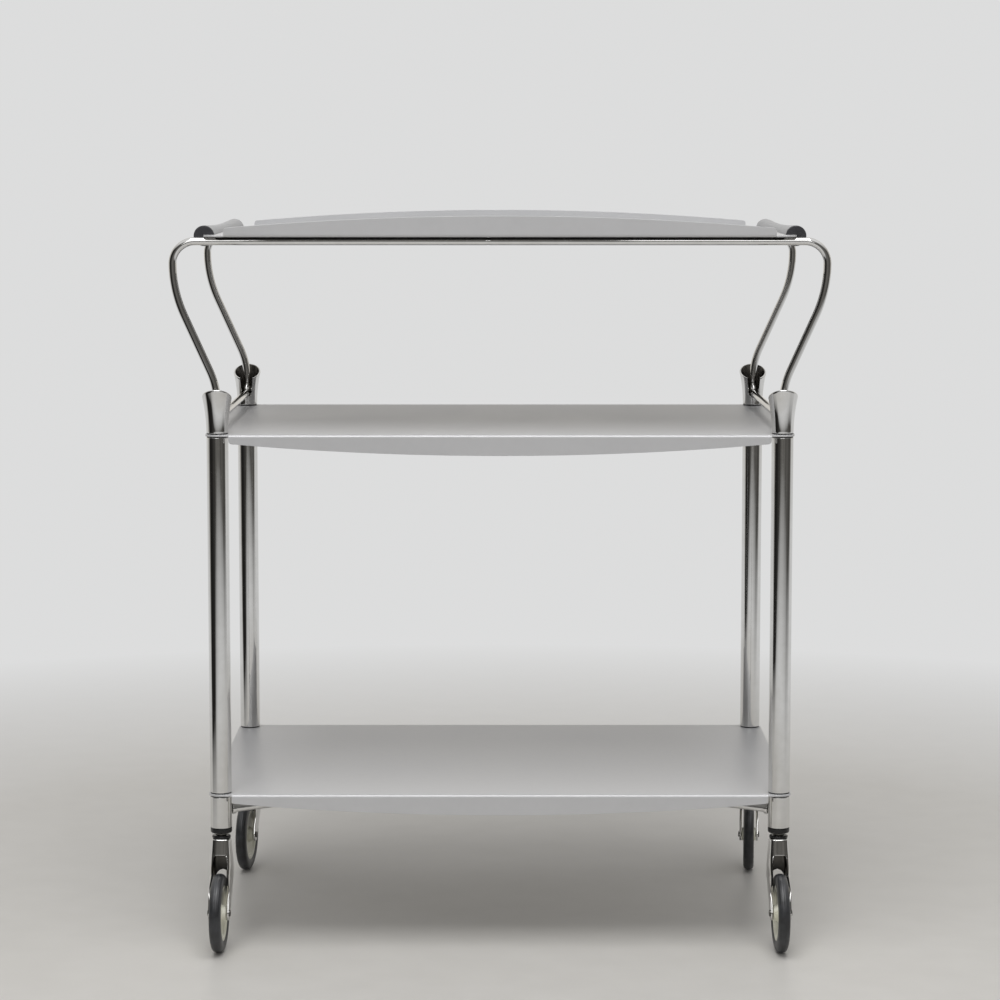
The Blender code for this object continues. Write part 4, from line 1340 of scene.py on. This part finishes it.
# %% The dim side of the room
PANORAMA = (  # degrees from the front, negative to the left; how bright; metres to where it dims
    (-180, 0.80, 3.6), (-112, 0.76, 3.6), (-94, 0.42, 1.2), (-82, 0.020, 0.52), (-48, 0.030, 0.6),
    (-32, 0.06, 1.3), (-12, 0.14, 1.8), (2, 0.18, 1.9), (10, 0.14, 1.9), (36, 0.12, 1.6),
    (60, 0.10, 1.1), (84, 0.12, 1.4), (100, 0.70, 3.6), (180, 0.80, 3.6),
)
FARTHEST = 4.0
DIM_GROWTH = 2.8  # fully dim at this many times the distance where it starts
WARM = (1, 0.965, 0.90)  # the greys' tint
FLATTEN = 0.1  # of the direction's height, so that streaks run upwards


def add_strip(tree, share, colours):
    """A colour ramp with one stop for each compass direction of the panorama."""
    ramp = add_node(tree, "ShaderNodeValToRGB", Fac=share)
    stops = ramp.color_ramp.elements
    for stop in PANORAMA[1:-1]:
        stops.new((stop[0] + 180) / 360)
    for stop, (degrees, _, _), colour in zip(stops, PANORAMA, colours):
        stop.position = (degrees + 180) / 360
        stop.color = (*colour, 1)
    return ramp.outputs["Color"]


def make_room_group():
    """Greys by compass direction, arctan2(x, -y), streaked by a noise stretched upwards, and the
    distance where that direction starts to dim."""
    tree = bpy.data.node_groups.new("room", "ShaderNodeTree")
    tree.interface.new_socket("Direction", in_out="INPUT", socket_type="NodeSocketVector")
    tree.interface.new_socket("Colour", in_out="OUTPUT", socket_type="NodeSocketColor")
    tree.interface.new_socket("Reach", in_out="OUTPUT", socket_type="NodeSocketFloat")
    way = tree.nodes.new("NodeGroupInput").outputs[0]
    result = tree.nodes.new("NodeGroupOutput")
    level = vector_maths(tree, "MULTIPLY", i0=way, i1=(1, 1, FLATTEN))[0]
    level = vector_maths(tree, "NORMALIZE", i0=level)[0]
    parts = add_node(tree, "ShaderNodeSeparateXYZ", Vector=level).outputs
    compass = maths(tree, "ARCTAN2", parts["X"], maths(tree, "MULTIPLY", parts["Y"], -1.0))
    share = spread(tree, compass, -math.pi, math.pi)
    greys = add_strip(tree, share, [tuple(grey * w for w in WARM) for _, grey, _ in PANORAMA])
    reach = add_strip(tree, share, [(near / FARTHEST,) * 3 for _, _, near in PANORAMA])
    streaks = add_node(tree, "ShaderNodeTexNoise", Vector=level, Scale=11.0, Detail=4.0)
    streak = spread(tree, streaks.outputs["Fac"], 0.35, 0.65, 0.45, 1.25)
    scaled = vector_maths(tree, "SCALE", i0=greys, Scale=streak)[0]
    tree.links.new(scaled, result.inputs[0])
    tree.links.new(maths(tree, "MULTIPLY", reach, FARTHEST), result.inputs[1])
    return tree


ROOM = make_room_group()

# %% Floor
FLOOR_SIZE = 14.0
BACKDROP = (0.72, 0.722, 0.722, 1)
FADE_FROM, FADE_TO = 0.80, 1.80  # metres from the cart's middle


def make_floor_finish():
    """Pale paint with slow stains.

    What the camera sees fades to the backdrop by distance. What reflections see fades to the room's
    strip, from each direction's own distance on.
    """
    finish = finish_with(
        "pale_floor", (0.62, 0.605, 0.575), (0.57, 0.555, 0.525), 0.45,
        grain_size=0.004, relief=0.02, smudge=0.10, smudge_size=0.8, scratch=0.02,
    )
    tree = finish.node_tree
    paint = tree.nodes["Principled BSDF"].outputs[0]
    where = object_place(tree)
    away = vector_maths(tree, "LENGTH", i0=where)["Value"]
    room = place_group(tree, ROOM, Direction=where).outputs
    times = maths(tree, "DIVIDE", away, room["Reach"])
    dim = spread(tree, times, 1.0, DIM_GROWTH)
    fade = spread(tree, away, FADE_FROM, FADE_TO)
    ray = add_node(tree, "ShaderNodeLightPath").outputs
    glossy = maths(tree, "MULTIPLY", ray["Is Glossy Ray"], maths(tree, "MAXIMUM", dim, fade))
    share = maths(tree, "ADD", glossy, maths(tree, "MULTIPLY", ray["Is Camera Ray"], fade))
    reflected = mixed(tree, dim, BACKDROP, room["Colour"])
    colour = mixed(tree, ray["Is Glossy Ray"], BACKDROP, reflected)
    far = add_node(tree, "ShaderNodeEmission", Color=colour)
    both = add_node(tree, "ShaderNodeMixShader", i0=share, i1=paint, i2=far.outputs[0])
    tree.links.new(both.outputs[0], tree.nodes["Material Output"].inputs["Surface"])
    return finish


half = FLOOR_SIZE / 2
floor_mesh = bpy.data.meshes.new("floor")
floor_corners = [(-half, -half, 0), (half, -half, 0), (half, half, 0), (-half, half, 0)]
floor_mesh.from_pydata(floor_corners, [], [(0, 1, 2, 3)])
floor_mesh.materials.append(make_floor_finish())
floor = show("floor", floor_mesh)

# %% The room's sky
AMBIENT = (0.42, 0.42, 0.425, 1)
CEILING = (0.84, 0.84, 0.84, 1)
CEILING_FROM, CEILING_TO = 0.45, 0.75  # the height of a direction of length one


def make_world():
    """The camera sees an even pale backdrop. Reflections see the room: the strip near the horizon
    and a bright ceiling above it. Everything else is lit by a soft even grey."""
    world = bpy.data.worlds.new("room")
    bpy.context.scene.world = world
    world.use_nodes = True
    tree = world.node_tree
    tree.nodes.clear()
    where = add_node(tree, "ShaderNodeTexCoord").outputs["Generated"]
    up = add_node(tree, "ShaderNodeSeparateXYZ", Vector=where).outputs["Z"]
    side = place_group(tree, ROOM, Direction=where).outputs[0]
    seen = mixed(tree, spread(tree, up, CEILING_FROM, CEILING_TO), side, CEILING)
    ray = add_node(tree, "ShaderNodeLightPath").outputs
    colour = mixed(tree, ray["Is Glossy Ray"], AMBIENT, seen)
    colour = mixed(tree, ray["Is Camera Ray"], colour, BACKDROP)
    light = add_node(tree, "ShaderNodeBackground", Color=colour, Strength=1.0)
    out = add_node(tree, "ShaderNodeOutputWorld")
    tree.links.new(light.outputs[0], out.inputs["Surface"])


make_world()
print("sky", bpy.context.scene.world.name)

# %% [markdown]
# ## Four lamps
#
# A wide ceiling lamp does most of the work and a weak key from the front left gives the shadow its
# side. The two low boxes are there to be seen: each lies where the faces that lean a little upwards
# mirror it to the camera, one to the left and one to the right, so that the wire's front run
# between them stays dark.


# %% Lamps
def add_light(name, place, target, wide, tall, power):
    """An area light at a place, facing a target."""
    data = bpy.data.lights.new(name, "AREA")
    data.shape = "RECTANGLE"
    data.size = wide
    data.size_y = tall
    data.energy = power
    lamp = show(name, data)
    lamp.location = place
    towards = np.array(target, float) - np.array(place, float)
    pitch = math.atan2(towards[2], math.hypot(towards[0], towards[1]))
    heading = math.atan2(towards[1], towards[0])
    lamp.rotation_euler = (math.pi / 2 + pitch, 0, heading - math.pi / 2)


add_light("ceiling", (0.0, -1.1, 3.2), (0, 0, 0), 2.2, 2.2, 60)
add_light("key", (-0.7, -2.5, 3.1), (0, 0, 0.3), 1.7, 1.7, 10)
add_light("left_box", (-0.95, -3.6, 1.9), (-0.3, 0, 0.1), 0.8, 0.9, 5)
add_light("right_box", (0.68, -3.6, 1.9), (0.3, 0, 0.1), 0.8, 0.9, 5)
print("lamps", len(bpy.data.lights))
